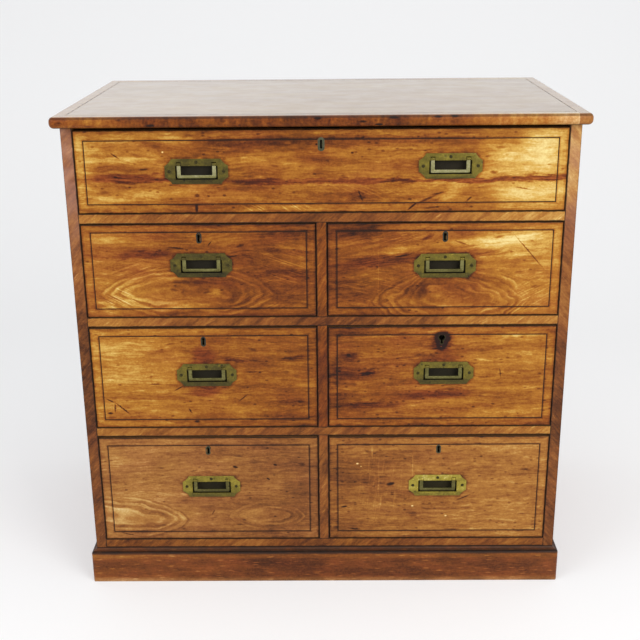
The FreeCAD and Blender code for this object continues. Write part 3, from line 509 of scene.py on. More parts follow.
def grown(mesh, faces, shift):
    """Draw faces out by a shift."""
    made = bmesh.ops.extrude_face_region(mesh, geom=faces)["geom"]
    bmesh.ops.translate(mesh, verts=points_in(made), vec=shift)


def hollowed(mesh, width):
    """Leave only a rim of the given width of a flat face."""
    whole = mesh.faces[:]
    mesh.normal_update()
    bmesh.ops.inset_individual(mesh, faces=whole, thickness=width, use_even_offset=True)
    bmesh.ops.delete(mesh, geom=whole, context="FACES_ONLY")


def corners_of(left, right, foot, head):
    return (left, foot), (right, foot), (right, head), (left, head)


def flat_rim(corners, width):
    """A flat four-sided rim of the given width inside its corners."""
    mesh = bmesh.new()
    mesh.faces.new([mesh.verts.new(corner) for corner in corners])
    hollowed(mesh, width)
    return mesh


def sharp_edges(mesh, degrees):
    return [edge for edge in mesh.edges
            if len(edge.link_faces) == 2 and edge.calc_face_angle() > math.radians(degrees)]


def fitted_piece(name, mesh, material, body, slot, *replaced, crease=40):
    """Turn a worked mesh into a piece that rides on a body, with its arrises left crisp."""
    bmesh.ops.recalc_face_normals(mesh, faces=mesh.faces[:])
    for face in mesh.faces:
        face.smooth = True
    for edge in sharp_edges(mesh, crease):
        edge.smooth = False
    piece = set_out(name, mesh, material)
    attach(piece, body)
    if replaced:
        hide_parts(*replaced)


TOP_BAND, BAND_EDGE = 25.0, 0.5


def top_wood():
    finish = Finish("top_wood", 300)
    x, y, z = finish.axes()
    half_wide, half_deep, upper = (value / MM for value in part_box("top_board")[1])
    to_side = half_wide - x.size()
    to_edge = to_side.smaller(half_deep - y.size())
    band = to_edge.between(TOP_BAND + BAND_EDGE, TOP_BAND - BAND_EDGE)
    side_band = to_side.between(TOP_BAND + BAND_EDGE, TOP_BAND - BAND_EDGE)
    along = finish.noise((260, 20, 20), 4.0, 0.6)
    fibres = finish.noise((60, 3, 3), 3.0, 0.6)
    clouds = finish.noise((170, 110, 110), 3.0)
    board = 0.62 + along.sway(0.5) + fibres.sway(0.2) + clouds.sway(0.4)

    # The edge: cross-cut pieces of many browns, dark in the middle and golden at the right end,
    # paler towards both ends partly as painted sheen of the windows.
    pieces = finish.noise((24, 80, 40), 2.0, 0.6, 14)
    strips = finish.noise((9, 60, 24), 3.0, 0.6, -10)
    grit = finish.noise((4, 4, 3.4), 3.0, 0.65)
    glow = (x.between(140, 450) * 0.46 + (-x).between(240, 450) * 0.22
            - (x + 60).size().between(220, 60) * 0.05 + 0.3)
    across = glow + pieces.sway(0.5) + strips.sway(0.45) + grit.sway(0.5)
    sideways = 0.46 + finish.noise((60, 24, 40), 2.0, 0.6).sway(0.5) + grit.sway(0.5)
    upper_face = z.between(upper - 1.0, upper - 0.2)
    banding = finish.either(side_band, across, sideways) + upper_face * 0.16
    chips = finish.flecks((26, 9, 9), 0.18) * to_edge.between(34, 18)
    tone = finish.either(band, board, banding) - chips * 0.5
    warm = finish.noise((50, 50, 50)).sway(1.8) + 0.42
    colour = camphor(finish, tone, warm, x.between(380, 450) * 0.4)

    # Light and use have bleached the upper face, and a painted sheen of the windows makes it paler
    # and greyer still, most at the left. Painted shade lies along the rounded edge, and a painted
    # shadow under the overhang.
    bleached_and_sheen = finish.blend(x.between(-300, 60), paint(178, 170, 152), paint(152, 144, 124))
    colour = finish.blend(upper_face * (band * -0.13 + 0.68), colour, bleached_and_sheen)
    arris_shade = z.between(upper - 5.5, upper - 3.4) * z.between(upper - 0.3, upper - 1.2)
    colour = finish.blend(arris_shade * 0.55, colour, SHADE_BLACK)
    colour = finish.blend(z.between(upper - 17.6, upper - 19.4) * 0.85, colour, SHADE_BLACK)
    height, roughness = polish(finish, tone)
    finish.put(finish.shader.inputs["Coat Weight"], upper_face)
    finish.shader.inputs["Coat Roughness"].default_value = 0.2
    return finish.finish_off(colour, height, roughness)


top = copied("top_board")
planed(top)
fitted_piece("top_board_polished", top, top_wood(), "carcass", "top_wood", "top_board", crease=30)

LINE_DEEP, LINE_PROUD = 0.9 * MM, 0.06 * MM


def inlay(name, material, corners, width, outward, body, slot, gap=None):
    """A thin line let into a face: a ring inside the four corners given, just proud of the face."""
    outward = Vector(outward)
    mesh = flat_rim([Vector(corner) - outward * LINE_DEEP for corner in corners], width)
    if gap:
        middle_z = sum(corner[2] for corner in corners) / 4
        for side in gap:
            sliced(mesh, (side, 0, 0), (1, 0, 0))
        middles = [(face, face.calc_center_median()) for face in mesh.faces]
        lost = [face for face, middle in middles
                if gap[0] < middle.x < gap[1] and middle.z > middle_z]
        bmesh.ops.delete(mesh, geom=lost, context="FACES")
    grown(mesh, mesh.faces[:], outward * (LINE_DEEP + LINE_PROUD))
    fitted_piece(name, mesh, material, body, slot)


def ebony(name, seed, kept, worn):
    """Ebony line: nearly black where it is kept, as pale as the wood where wax has filled it."""
    finish = Finish(name, seed)
    lost = finish.noise((22, 22, 22), 3.0, 0.6)
    fine = finish.noise((5, 5, 5))
    tone = lost.between(kept, kept + 0.16) * 0.9 + fine.sway(0.4)
    colour = finish.ramp(tone, tints((0, 38, 20, 9), (0.5, 66, 36, 14)) + [(1, worn)])
    return finish.finish_off(colour, fine, 0.5)


ebony_line = ebony("ebony_line", 420, 0.62, paint(96, 54, 22))
worn_line = ebony("worn_ebony_line", 450, 0.4, paint(150, 128, 100))
low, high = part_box("top_board")
inside = TOP_BAND * MM
corners = corners_of(low.x + inside, high.x - inside, low.y + inside, high.y - inside)
inlay("top_line", worn_line, [(x, y, high.z) for x, y in corners], 1.5 * MM, (0, 0, 1),
      "carcass", "top_wood")


# --------------------------------------------------
# The plinth: solid boards with a moulded top edge, mitred at the front corners. Boots and brooms
# have knocked it, so it is darker than the rest, with paler scuffs along its foot.

def plinth_wood():
    finish = Finish("plinth_wood", 500)
    x, y, z = finish.axes()
    long_grain = finish.noise((110, 110, 14), 3.0, 0.6)
    fine = finish.noise((22, 22, 3), 3.0, 0.65)
    grit = finish.noise((5, 5, 4), 3.0, 0.65)
    patches = finish.noise((60, 60, 24), 3.0, 0.6)
    scuffs = finish.flecks((24, 24, 4), 0.6)
    head = z.between(48, 57) * z.between(63, 60)
    foot = z.between(14, 2)
    tone = (0.27 + long_grain.sway(0.4) + fine.sway(0.3) + grit.sway(0.3) + patches.sway(0.45)
            + scuffs * 0.22 + head * 0.08 + foot * (patches * 0.34 + 0.05)
            + (-x).between(120, 380) * 0.09 - x.size().between(220, 90) * 0.04)
    colour = camphor(finish, tone, patches.sway(1.6) + 0.7 - head * 0.4, foot * 0.5 + 0.2)
    # A dark band lies just below the moulding, and painted shade fills its quirks.
    dark_band = finish.noise((40, 40, 10)).between(0.3, 0.65) * 0.3 + 0.45
    colour = finish.blend(z.between(60.5, 62.5) * dark_band, colour, paint(54, 41, 32))
    quirk_shade = z.between(63.2, 64.4) * z.between(67.6, 66.4) + z.between(70.6, 72.0)
    colour = finish.blend(quirk_shade * 0.8, colour, SHADE_BLACK)
    height, roughness = polish(finish, tone + scuffs)
    return finish.finish_off(colour, height, roughness, 0.5)


PLINTH_FACE, PLINTH_HALF = -273.5 * MM, 460 * MM
CORNER_ROUND, FOOT_WORN = 6 * MM, 1.4 * MM


def knocked(mesh):
    """Round what boots and floors wear, by small flats: the upright front corners and the foot."""
    flats = []
    for hand in (-1, 1):
        centre = Vector((hand * (PLINTH_HALF - CORNER_ROUND), PLINTH_FACE + CORNER_ROUND, 0))
        for turn in map(math.radians, (22.5, 45, 67.5)):
            outward = Vector((hand * math.cos(turn), -math.sin(turn), 0))
            flats.append((centre + outward * CORNER_ROUND, outward))
    flats += [(Vector((0, PLINTH_FACE, FOOT_WORN)), Vector((0, -1, -1))),
              (Vector((PLINTH_HALF, 0, FOOT_WORN)), Vector((1, 0, -1))),
              (Vector((-PLINTH_HALF, 0, FOOT_WORN)), Vector((-1, 0, -1)))]
    for point, outward in flats:
        rim = sliced(mesh, point, outward.normalized(), clear_outer=True)
        bmesh.ops.holes_fill(mesh, edges=rim)


worn_plinth = plinth_wood()
for name in ("plinth_front", "plinth_sides"):
    boards = copied(name)
    planed(boards)
    knocked(boards)
    fitted_piece(f"{name}_moulded", boards, worn_plinth, "carcass", "plinth_wood", name, crease=30)


# --------------------------------------------------
# Inside and behind: bare, unpolished boards, browned by age and planed by hand. The runners, the
# guides and the stops are of the same wood, as are the drawers' sides, backs and bottoms.

def bare_wood(name, reach, base, seed, boards=0):
    """Bare wood for a piece, or for a given number of boards side by side across the back."""
    finish = Finish(name, seed)
    if boards:
        low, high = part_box("back_boards")
        along = (finish.axes()[0] - low.x / MM) * (boards * MM / (high.x - low.x))
        number, side = along.maths("FLOOR"), along.part()
        joint = (side - 0.5).size().between(0.489, 0.496)
        base = (number * 2.7).part() * 0.14 + base - joint * 0.5
    colour, fine = bare(finish, reach, base)
    return finish.finish_off(colour, fine, 0.72, 0.4)


upright_bare = bare_wood("bare_back_wood", (14, 14, 260), 0.36, 620, boards=4)
deep_bare = bare_wood("bare_runner_wood", (14, 260, 14), 0.5, 660)
cross_bare = bare_wood("bare_bottom_wood", (260, 16, 16), 0.5, 700)
assign("back_boards", upright_bare)
for name in ("drawer_runners", "drawer_guides"):
    assign(name, deep_bare)
for name in ("drawer_stops", "bottom_board", "plinth_back", "plinth_blocks"):
    assign(name, cross_bare)


# --------------------------------------------------
# The drawer fronts: single boards of figured camphor, no two alike, each with an ebony line let
# in near its edge. Each is told apart by its own grain, stains, knocks and scratches.

PLATE_HALF_WIDE, PLATE_HALF_HIGH, PLATE_OVER_BAIL, PLATE_CUT = 55.5, 22.25, 12.45, 13.0
LINE_SIDE, LINE_FOOT = 16, 15
LINE_HEAD = {"long": 16.8, "upper": 13.4, "middle": 15, "lower": 15.4}
BEHIND_POLISH = (FACE + 1.6, FACE + 3.0)


def bails_of(start):
    """The bails whose names begin with the drawer's or the row's."""
    children = [joint["child"] for joint in frame["joints"]]
    return [child for child in children if child.startswith(start) and child.endswith("bail")]


def looped(finish, x, y, straight, loops):
    """Where the saw came near the heart the grain runs in loops, with pale lines between them."""
    for cx, cz, wide, tall, turn, rings, strength, to_left, round_off in loops:
        bend = finish.noise((90, 100, 44), 1.0).sway(0.9) + finish.noise((26, 100, 15)).sway(0.24)
        across, _, up = finish.axes(finish.fitted((cx, 0, cz), (wide, 1e6, tall), turn))
        reach = across.size().raised(2.2) + up.size().raised(round_off) + bend
        curled = finish.point(x, y, reach * tall)
        loop = (finish.noise((120, 60, 22), 2.0, 0.6, place=curled).sway(0.7)
                + finish.noise((60, 30, 5), 3.0, 0.62, place=curled).sway(0.4) - 0.02)
        ring = (reach * rings).part()
        line = ring.between(0.1, 0.75) * ring.between(1.0, 0.8)
        lively = (finish.noise((50, 100, 30)).between(0.34, 0.6)
                  * across.between(-0.7, 0.5, to_left, 1.0))
        loop = loop + (line * 0.18 - 0.06) * lively * strength
        straight = finish.either(reach.between(1.45, 1.05), straight, loop)
    return straight


def drawer_wood(name, seed, base, redness, drift, specks, slope=0.0, rise=0.0, dull=0.0,
                broad_share=0.6, calm=0.0, loops=(), hairs=(), streaks=(), patches=(), marks=()):
    """The wood of one drawer front: straight grain, its own figure, and dirt along its edges.

    The grain leans by the slope and wanders by the drift, the tone rises from left to right, partly
    as painted window light, and the grain's contrast is lost by the calm towards the right.
    """
    finish = Finish(f"{name}_wood", seed)
    low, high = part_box(f"{name}_drawer_front")
    left, right, foot, head = (value / MM for value in (low.x, high.x, low.z, high.z))
    x, y, z = finish.axes()
    drifting = finish.noise((190, 400, 90))
    ripple = finish.noise((50, 400, 26))
    grain = finish.point(x, y, z + drifting.sway(drift) + ripple.sway(12) - x * slope)
    broad = finish.noise((240, 60, 20), 3.0, 0.6, place=grain)
    veins = finish.noise((80, 30, 5), 3.0, 0.62, place=grain)
    fibres = finish.noise((16, 8, 2), 2.0, 0.6, place=grain)
    mottle = finish.noise((15, 15, 9), 3.0, 0.6)
    grit = finish.noise((3.8, 3.8, 3.2), 2.0, 0.6)
    clouds = finish.noise((100, 200, 45), 3.0, 0.55)
    straight = broad.sway(broad_share) + veins.sway(0.46) + fibres.sway(0.3)
    hue = redness + finish.noise((90, 200, 40), 3.0).sway(1.6) + broad.sway(-0.8)
    straight = looped(finish, x, y, straight, loops)
    figure = straight + mottle.sway(0.3)
    if calm:
        figure = figure * x.between(right * 0.4, right * 0.8, 1.0, 1.0 - calm)
    # The rise is partly painted window light, paler towards each side drawer's outer end.
    level = x.between(left, right, base - rise, base + rise)
    tone = figure + grit.sway(0.26) + clouds.sway(0.45) + level

    # Fine slanting lines where the grain rises to the surface.
    for cx, cz, wide, tall, lean_by, change in hairs:
        hair = finish.noise((44, 100, 2.4), 1.0, turn=lean_by).between(0.54, 0.68)
        tone = tone + finish.spot((cx, cz), (wide, tall), 0.4) * hair * (change / 100)

    # Streaks, stains and pale patches, their edges drawn out along the grain; the pale golden
    # patches, most of all towards the right, are partly painted window sheen.
    rough_edge = finish.noise((34, 100, 7), 3.0, 0.7)
    wander = finish.point(x + rough_edge.sway(44), y, z + rough_edge.sway(20))
    threads = finish.noise((50, 100, 3.2), 3.0, 0.65, place=grain).between(0.34, 0.6, 0.5, 1.4)
    for cx, cz, wide, tall, change, warmer, *turn in streaks:
        mask = finish.spot((cx, cz), (wide, tall), 0.3, wander, *turn)
        tone = tone + mask * threads * (change / 100)
        hue = hue + mask * (warmer / 100)
    for cx, cz, wide, tall, change, warmer, *turn in patches:
        mask = finish.spot((cx, cz), (wide, tall), 0.0, wander, *turn)
        tone = tone + mask * (change / 100)
        hue = hue + mask * (warmer / 100)
    jagged = finish.point(x + grit.sway(3), y, z + grit.sway(2))
    for cx, cz, wide, tall, change, *turn in marks:
        tone = tone + finish.spot((cx, cz), (wide, tall), 0.25, jagged, *turn) * (change / 100)
    pits = finish.flecks((12, 40, 6.5), specks)
    dashes = finish.flecks((30, 60, 9), specks, place=grain)
    pale_dashes = finish.flecks((26, 60, 7), specks, place=grain)
    tone = tone - pits * 0.22 - dashes * 0.16 + pale_dashes * 0.12

    # Dirt lies round the handle plates and beside the inlaid line; the wood darkens towards the
    # edges, and painted shade of the gaps lies along them.
    for bail in bails_of(name):
        low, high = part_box(bail)
        off_x = (x - (low.x + high.x) / 2 / MM).size() - PLATE_HALF_WIDE
        off_z = (z - low.z / MM - PLATE_OVER_BAIL).size() - PLATE_HALF_HIGH
        off = off_x.larger(off_z).larger((off_x + off_z + PLATE_CUT) * 0.7)
        tone = tone - (off + mottle.sway(6)).between(5, -1) * 0.2
    to_side = (x - left).smaller(right - x)
    line_head = head - LINE_HEAD[name.split("_")[0]]
    off_line = (to_side - LINE_SIDE).smaller((z - foot - LINE_FOOT).smaller(line_head - z)).size()
    tone = tone - off_line.between(2.8, 0.8) * 0.16
    to_edge = to_side.smaller((z - foot).smaller(head - z))
    tone = tone - to_edge.between(6, 1) * 0.12
    # Painted shade of the gaps round the front.
    polished = edge_shaded(finish, camphor(finish, tone, hue, dull), to_edge, 1.4)
    return part_bare(finish, polished, straight, y.between(*BEHIND_POLISH), (260, 14, 14))


# Each streak and patch has its middle, its half width and height, its change of tone and of
# redness in hundredths, and its turn if it has one. A mark has no redness, and a hair has its
# lean before its change. The middles are measured on the chest, as all places are.
DRAWERS = {}
DRAWERS["long"] = dict(
    base=0.48, redness=0.1, drift=22, specks=0.16, calm=0.3,
    hairs=[(-80, 757, 100, 10, -32, 20), (70, 782, 110, 18, -24, 12), (330, 835, 100, 30, 8, 10)],
    streaks=[
        (-340, 809, 100, 12, -22, 110), (-250, 806, 90, 6, -16, 90), (-70, 804, 150, 7, -17, 100),
        (110, 803, 120, 7, -26, 110), (250, 803, 90, 5, -24, 110, -1),
        (370, 806, 110, 8, -34, 140, 1)],
    patches=[
        (-345, 842, 110, 10, 26, -50, 2), (-300, 782, 150, 16, 20, -50, 4),
        (-415, 860, 50, 50, 16, -30), (-60, 872, 330, 22, -22, 30), (30, 846, 130, 22, -14, 20),
        (-130, 822, 90, 20, -8, 20), (140, 874, 120, 14, -10, 30), (375, 822, 130, 130, 24, -70),
        (405, 862, 80, 60, 12, -50), (350, 842, 90, 22, 20, -80, 3), (-420, 815, 40, 110, 12, -30),
        (315, 852, 60, 30, 12, -60), (-390, 767, 60, 16, 20, -40), (-245, 874, 60, 16, 20, 0),
        (212, 872, 90, 18, -14, 10), (-318, 881, 115, 17, 24, -30), (-175, 872, 50, 14, -12, 10),
        (55, 877, 110, 18, -18, 10), (210, 796, 80, 16, 10, -20), (312, 822, 60, 14, 10, -50),
        (385, 874, 66, 32, 24, -80), (110, 826, 110, 18, -10, 20), (248, 768, 50, 13, 12, -20),
        (236, 790, 50, 20, 20, -50, 45), (380, 780, 150, 30, 26, -60), (20, 778, 100, 26, -5, 10),
        (175, 792, 60, 16, 14, -40), (-80, 755, 90, 7, 10, -20)],
    marks=[
        (-220, 756, 4, 10, -45), (-7.5, 868, 2.4, 2.4, -70), (-218, 779, 7, 4, -40),
        (-198, 778, 4, 3, -30), (-170, 779, 5, 3, -30), (-358, 850, 12, 1.8, -45, -35),
        (-275, 856, 2.4, 2.4, 60), (186, 770, 26, 3.2, -34, 24), (205, 780, 18, 2.4, -36, 10),
        (160, 757, 14, 2.6, -45, 40), (69, 777, 14, 1.6, -35, -68), (260, 770, 8, 2.6, -40, 40),
        (55, 853, 3.8, 2.8, -50), (302, 817, 9, 4, -40), (355, 788, 22, 1.5, -40, -9),
        (-310, 826, 14, 3, -30, 6)])
DRAWERS["upper_left"] = dict(
    base=0.405, redness=0.3, drift=46, specks=0.1, slope=-0.02, rise=-0.09, broad_share=0.4,
    loops=[(-240, 598, 150, 44, 0, 3.4, 1.1, 1.1, 1.35)],
    hairs=[
        (-370, 590, 50, 26, -28, 30), (-70, 650, 60, 60, -20, 16), (-330, 640, 90, 30, 18, 14),
        (-90, 590, 70, 40, 24, 12)],
    streaks=[(-320, 673, 70, 11, -13, 60), (-60, 676, 60, 8, -12, 40, -6)],
    patches=[
        (-380, 700, 60, 16, 18, -50), (-192, 600, 20, 16, 22, -60), (-330, 600, 90, 46, 14, -30),
        (-395, 575, 46, 9, 20, -50, -28), (-220, 621, 58, 7, -12, 40), (-300, 694, 70, 6, 10, -30),
        (-250, 590, 90, 26, 13, -10), (-345, 590, 50, 40, 12, -20),
        (-90, 640, 110, 26, -16, 30, -8), (-60, 704, 110, 20, -12, 30),
        (-255, 572, 60, 10, 12, -30)],
    marks=[
        (-200, 692, 7, 1.6, -40, 50), (-260, 684, 20, 2.4, -30, -8), (-160, 668, 14, 1.8, -30, 10)])
DRAWERS["upper_right"] = dict(
    base=0.44, redness=0.25, drift=34, specks=0.12, slope=0.07, rise=0.09, broad_share=0.5,
    calm=0.2,
    loops=[(236, 588, 136, 50, 0, 5.4, 1.4, 0.4, 1.8)],
    hairs=[(385, 596, 50, 44, 28, 14), (90, 600, 80, 40, -14, 12), (120, 700, 90, 14, 16, 20)],
    streaks=[(110, 658, 110, 16, -16, 60, 5), (330, 672, 90, 5, -16, 50, 4)],
    patches=[
        (322, 697, 110, 24, 42, -100, 4), (332, 670, 110, 14, 26, -90, 6),
        (405, 690, 60, 50, 16, -40), (246, 656, 58, 38, -36, 15), (170, 606, 60, 24, -12, 10),
        (385, 640, 60, 14, -10, 20), (320, 574, 70, 14, -10, 10), (345, 682, 70, 30, 14, -30),
        (190, 701, 14, 5, -34, 70, 20), (315, 700, 18, 4, -34, 60, 14), (60, 712, 90, 24, -28, 20),
        (45, 600, 60, 70, -10, 20), (385, 620, 60, 60, 8, -30), (240, 606, 120, 34, -13, 30),
        (140, 679, 52, 15, 17, -40, 8)],
    marks=[
        (370, 674, 54, 1.6, -40, -49), (102, 640, 0.9, 76, 12), (250, 690, 20, 1.8, -30, -20),
        (150, 668, 24, 2.6, -30, 12)])
DRAWERS["middle_left"] = dict(
    base=0.455, redness=0.05, drift=14, specks=0.12, rise=-0.09,
    streaks=[
        (-162, 468, 34, 5, -14, 60, -12), (-52, 472, 34, 6, -20, 50, 6),
        (-221, 478, 30, 26, -8, 100), (-221, 405, 44, 14, -16, 100)],
    patches=[
        (-395, 490, 70, 40, 20, -70), (-398, 396, 36, 18, -10, 0), (-345, 440, 110, 40, 18, -40),
        (-300, 507, 80, 20, 12, -40), (-70, 507, 120, 16, -8, 20), (-195, 507, 50, 18, -12, 20),
        (-200, 362, 50, 18, -12, 20), (-335, 385, 90, 12, 10, -30), (-50, 370, 90, 50, -14, 30),
        (-200, 345, 160, 8, -6, 20)],
    marks=[
        (-401, 388, 10, 2, -55, -30), (-392, 373, 12, 2, -50, 88), (-402, 362, 7, 3.4, -50),
        (-378, 372, 24, 2.1, -55, -42), (-313, 421, 16, 2, -40), (-270, 412, 14, 1.8, -40, 30),
        (-250, 366, 8, 2, -40, -60), (-238, 344, 8, 3.4, -40), (-150, 392, 14, 1.8, -35, 40)])
DRAWERS["middle_right"] = dict(
    base=0.43, redness=0.3, drift=18, specks=0.26, slope=0.01, rise=0.07,
    streaks=[
        (84, 440, 18, 6, -26, 60), (88, 376, 76, 9, -16, 50), (221, 500, 30, 28, -26, 70),
        (220, 400, 70, 14, -12, 70)],
    patches=[
        (48, 474, 26, 13, -26, 60), (220, 470, 66, 9, -12, 60), (355, 507, 90, 22, 20, -60),
        (340, 450, 110, 60, 8, -50), (150, 505, 110, 18, -10, 30), (35, 450, 50, 70, -10, 30),
        (345, 365, 110, 14, 12, -40), (180, 392, 110, 20, -6, 30), (350, 430, 130, 120, -5, -50)],
    marks=[
        (221, 511, 19, 16, -90), (220, 500, 13, 17, -90), (219, 493, 2.6, 1.8, 90),
        (48, 477, 5, 4, -40), (300, 466, 24, 1.6, 14, -8), (330, 440, 1.3, 14, -35, 10)])
DRAWERS["lower_left"] = dict(
    base=0.46, redness=0.25, drift=22, specks=0.1, rise=-0.06, dull=0.45, broad_share=0.3,
    loops=[(-392, 141, 116, 40, -3, 2.6, 1.2, 1, 1.4), (-110, 141, 66, 26, 0, 2.4, 0.8, 1.6, 1.4)],
    hairs=[(-300, 200, 110, 40, 12, 10)],
    patches=[
        (-400, 262, 34, 30, 10, -60), (-360, 186, 120, 34, 13, -40), (-375, 150, 60, 40, 12, -40),
        (-284, 140, 22, 12, 18, -40), (-240, 112, 80, 14, -10, 20), (-40, 210, 60, 90, -12, 40),
        (-100, 285, 120, 18, -6, 30), (-150, 142, 60, 22, 6, -20), (-300, 148, 70, 34, 12, -30),
        (-402, 292, 40, 14, -10, 0)],
    marks=[
        (-170, 248, 7, 3.4, -60, -10), (-93, 252, 5, 2.6, -50, -20), (-107, 222, 5, 2.2, -50, -40),
        (-250, 240, 10, 1.8, -30, 12), (-216, 150, 8, 1.8, -30, 60),
        (-384, 102, 22, 1.6, -30, -14)])
DRAWERS["lower_right"] = dict(
    base=0.475, redness=0.05, drift=20, specks=0.28, rise=0.06, dull=0.32, broad_share=0.3,
    hairs=[(110, 200, 60, 90, 84, 10), (300, 150, 90, 40, 14, 10)],
    patches=[
        (395, 242, 44, 5, -20, -10), (380, 230, 40, 4, -18, -10), (30, 230, 50, 110, -12, 20),
        (110, 262, 110, 40, -6, 10), (330, 284, 110, 18, 8, -20), (190, 118, 60, 14, 12, -50),
        (345, 165, 80, 30, 10, -40), (110, 130, 90, 12, 2, -40), (290, 205, 40, 30, 5, 0),
        (350, 200, 150, 160, 0, -70)],
    marks=[
        (129, 210, 11, 4.6, -50, 12), (40, 161, 9, 2.6, -50, 8), (65, 254, 3.6, 2.4, 60),
        (72, 248, 2, 1.8, 50), (172, 162, 3.6, 2.4, 60), (237, 140, 2.8, 2.2, 60),
        (93, 276, 1.3, 20, 22), (171, 250, 1.6, 36, 14), (106, 222, 1, 72, 10),
        (270, 180, 26, 1.8, -26, 26), (60, 112, 16, 2.6, -35, -8), (250, 110, 20, 2.6, -30)])

LINE_WIDTH = 1.8 * MM
KEYHOLE_ROOM = (-5.6 * MM, 5.6 * MM)
for order, (name, woodwork) in enumerate(DRAWERS.items()):
    front = f"{name}_drawer_front"
    assign(front, drawer_wood(name, 1000 + 400 * order, **woodwork))
    low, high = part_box(front)
    side, line_head = LINE_SIDE * MM, high.z - LINE_HEAD[name.split("_")[0]] * MM
    corners = corners_of(low.x + side, high.x - side, low.z + LINE_FOOT * MM, line_head)
    inlay(f"{name}_drawer_line", ebony_line, [(x, FACE * MM, z) for x, z in corners], LINE_WIDTH,
          (0, -1, 0), f"{name}_drawer", "drawer_wood", KEYHOLE_ROOM if name == "long" else None)
    assign(f"{name}_drawer_box", deep_bare)


# --------------------------------------------------
# The flush handles: a cast brass plate with its sunk pan, let into the wood and held by three
# countersunk screws, one at each end and one above the opening. They have gone olive with age.

TARNISH = tints((0, 38, 32, 13), (0.3, 82, 72, 26), (0.55, 122, 108, 36), (0.8, 168, 150, 56),
                (1, 214, 200, 118))
GRIME = paint(34, 28, 17)


def brass(name, seed, base, colours=TARNISH, metal=0.5, spread=0.6, middle=None, rise=0.0):
    """Old cast brass: olive tarnish in blotches, pits and pale scratches, and black grime where it
    is sunk.

    With a middle level, the brass is darker below that level than above it, on a bail as a painted
    shade on its bar. The rise is how much paler the brass gets from the left end of the chest to
    the right.
    """
    finish = Finish(name, seed)
    x, y, z = finish.axes()
    blotch = finish.noise((20, 20, 14), 3.0, 0.6)
    fine = finish.noise((3.4, 3.4, 3.4), 3.0, 0.6)
    pits = finish.flecks((8, 8, 8), 0.2)
    scratches = finish.flecks((9, 9, 4), 0.12, 30)
    tone = base + blotch.sway(spread) + fine.sway(0.35) - pits * 0.2 + scratches * 0.16
    if middle is not None:
        # Darker below the middle level; on a bail this is a painted shade on its bar below the
        # paler arms.
        tone = tone + (z - middle).between(-16, -9, -0.14, 0.04)
    if rise:
        tone = tone + x.between(-300, 300, -rise, rise)
    sunk = y.between(FACE + 1.4, FACE + 4.0)
    colour = finish.blend(sunk * 0.95, finish.ramp(tone, colours), GRIME)
    finish.put(finish.shader.inputs["Metallic"], finish.either(sunk, metal, 0.0))
    roughness = finish.either(sunk, blotch.between(0.3, 0.7, 0.34, 0.5), 0.8)
    return finish.finish_off(colour, fine - pits, roughness, 0.25, 0.4)


def rounded(mesh, edges, offset, segments):
    bmesh.ops.bevel(mesh, geom=edges, offset=offset, offset_type="OFFSET", segments=segments,
                    profile=0.5, affect="EDGES", clamp_overlap=True, material=-1)


def loose_parts(mesh):
    """The separate solids of a mesh, each as a list of its points."""
    left, parts = set(mesh.verts), []
    while left:
        part, ahead = [], [left.pop()]
        while ahead:
            vert = ahead.pop()
            part.append(vert)
            beside = (edge.other_vert(vert) for edge in vert.link_edges)
            near = [other for other in beside if other in left]
            ahead += near
            left.difference_update(near)
        parts.append(part)
    return parts


HEAD_RADIUS, HEAD_DEEP, HEAD_SOFT = 3.05 * MM, 3.0 * MM, 0.25 * MM
SLOT_HALF, SLOT_REACH, SLOT_DEEP = 0.6 * MM, 2.3 * MM, 1.2 * MM
SHANK_RADIUS, SHANK_LONG = 1.4 * MM, 12 * MM


def screw():
    """A countersunk brass screw whose slotted head faces up, with the head's face at the origin."""
    mesh = bmesh.new()
    sunk = Matrix.Translation((0, 0, -HEAD_DEEP / 2))
    bmesh.ops.create_cone(mesh, cap_ends=True, segments=24, radius1=SHANK_RADIUS,
                          radius2=HEAD_RADIUS, depth=HEAD_DEEP, matrix=sunk)
    rims = [edge for edge in sharp_edges(mesh, 40) if edge.verts[0].co.z > -HEAD_DEEP / 2]
    rounded(mesh, rims, HEAD_SOFT, 2)
    for side in (-1, 1):
        sliced(mesh, (0, side * SLOT_HALF, 0), (0, 1, 0))
        sliced(mesh, (side * SLOT_REACH, 0, 0), (1, 0, 0))
    middles = [(face, face.calc_center_median()) for face in mesh.faces]
    slot = [face for face, middle in middles if middle.z > -HEAD_SOFT / 2
            and abs(middle.x) < SLOT_REACH and abs(middle.y) < SLOT_HALF]
    grown(mesh, slot, (0, 0, -SLOT_DEEP))
    bmesh.ops.delete(mesh, geom=slot, context="FACES_ONLY")
    below_head = Matrix.Translation((0, 0, -HEAD_DEEP / 2 - SHANK_LONG / 2))
    bmesh.ops.create_cone(mesh, cap_ends=True, segments=12, radius1=0.3 * SHANK_RADIUS,
                          radius2=0.9 * SHANK_RADIUS, depth=SHANK_LONG, matrix=below_head)
    return mesh


PLATE_FACE, PLATE_SOFT, SCREW_WIDE = FACE * MM - 0.5 * MM, 0.3 * MM, 10 * MM
NEAR = 0.1 * MM
OUT_OF_FACE = Matrix.Rotation(math.radians(90), 4, "X")


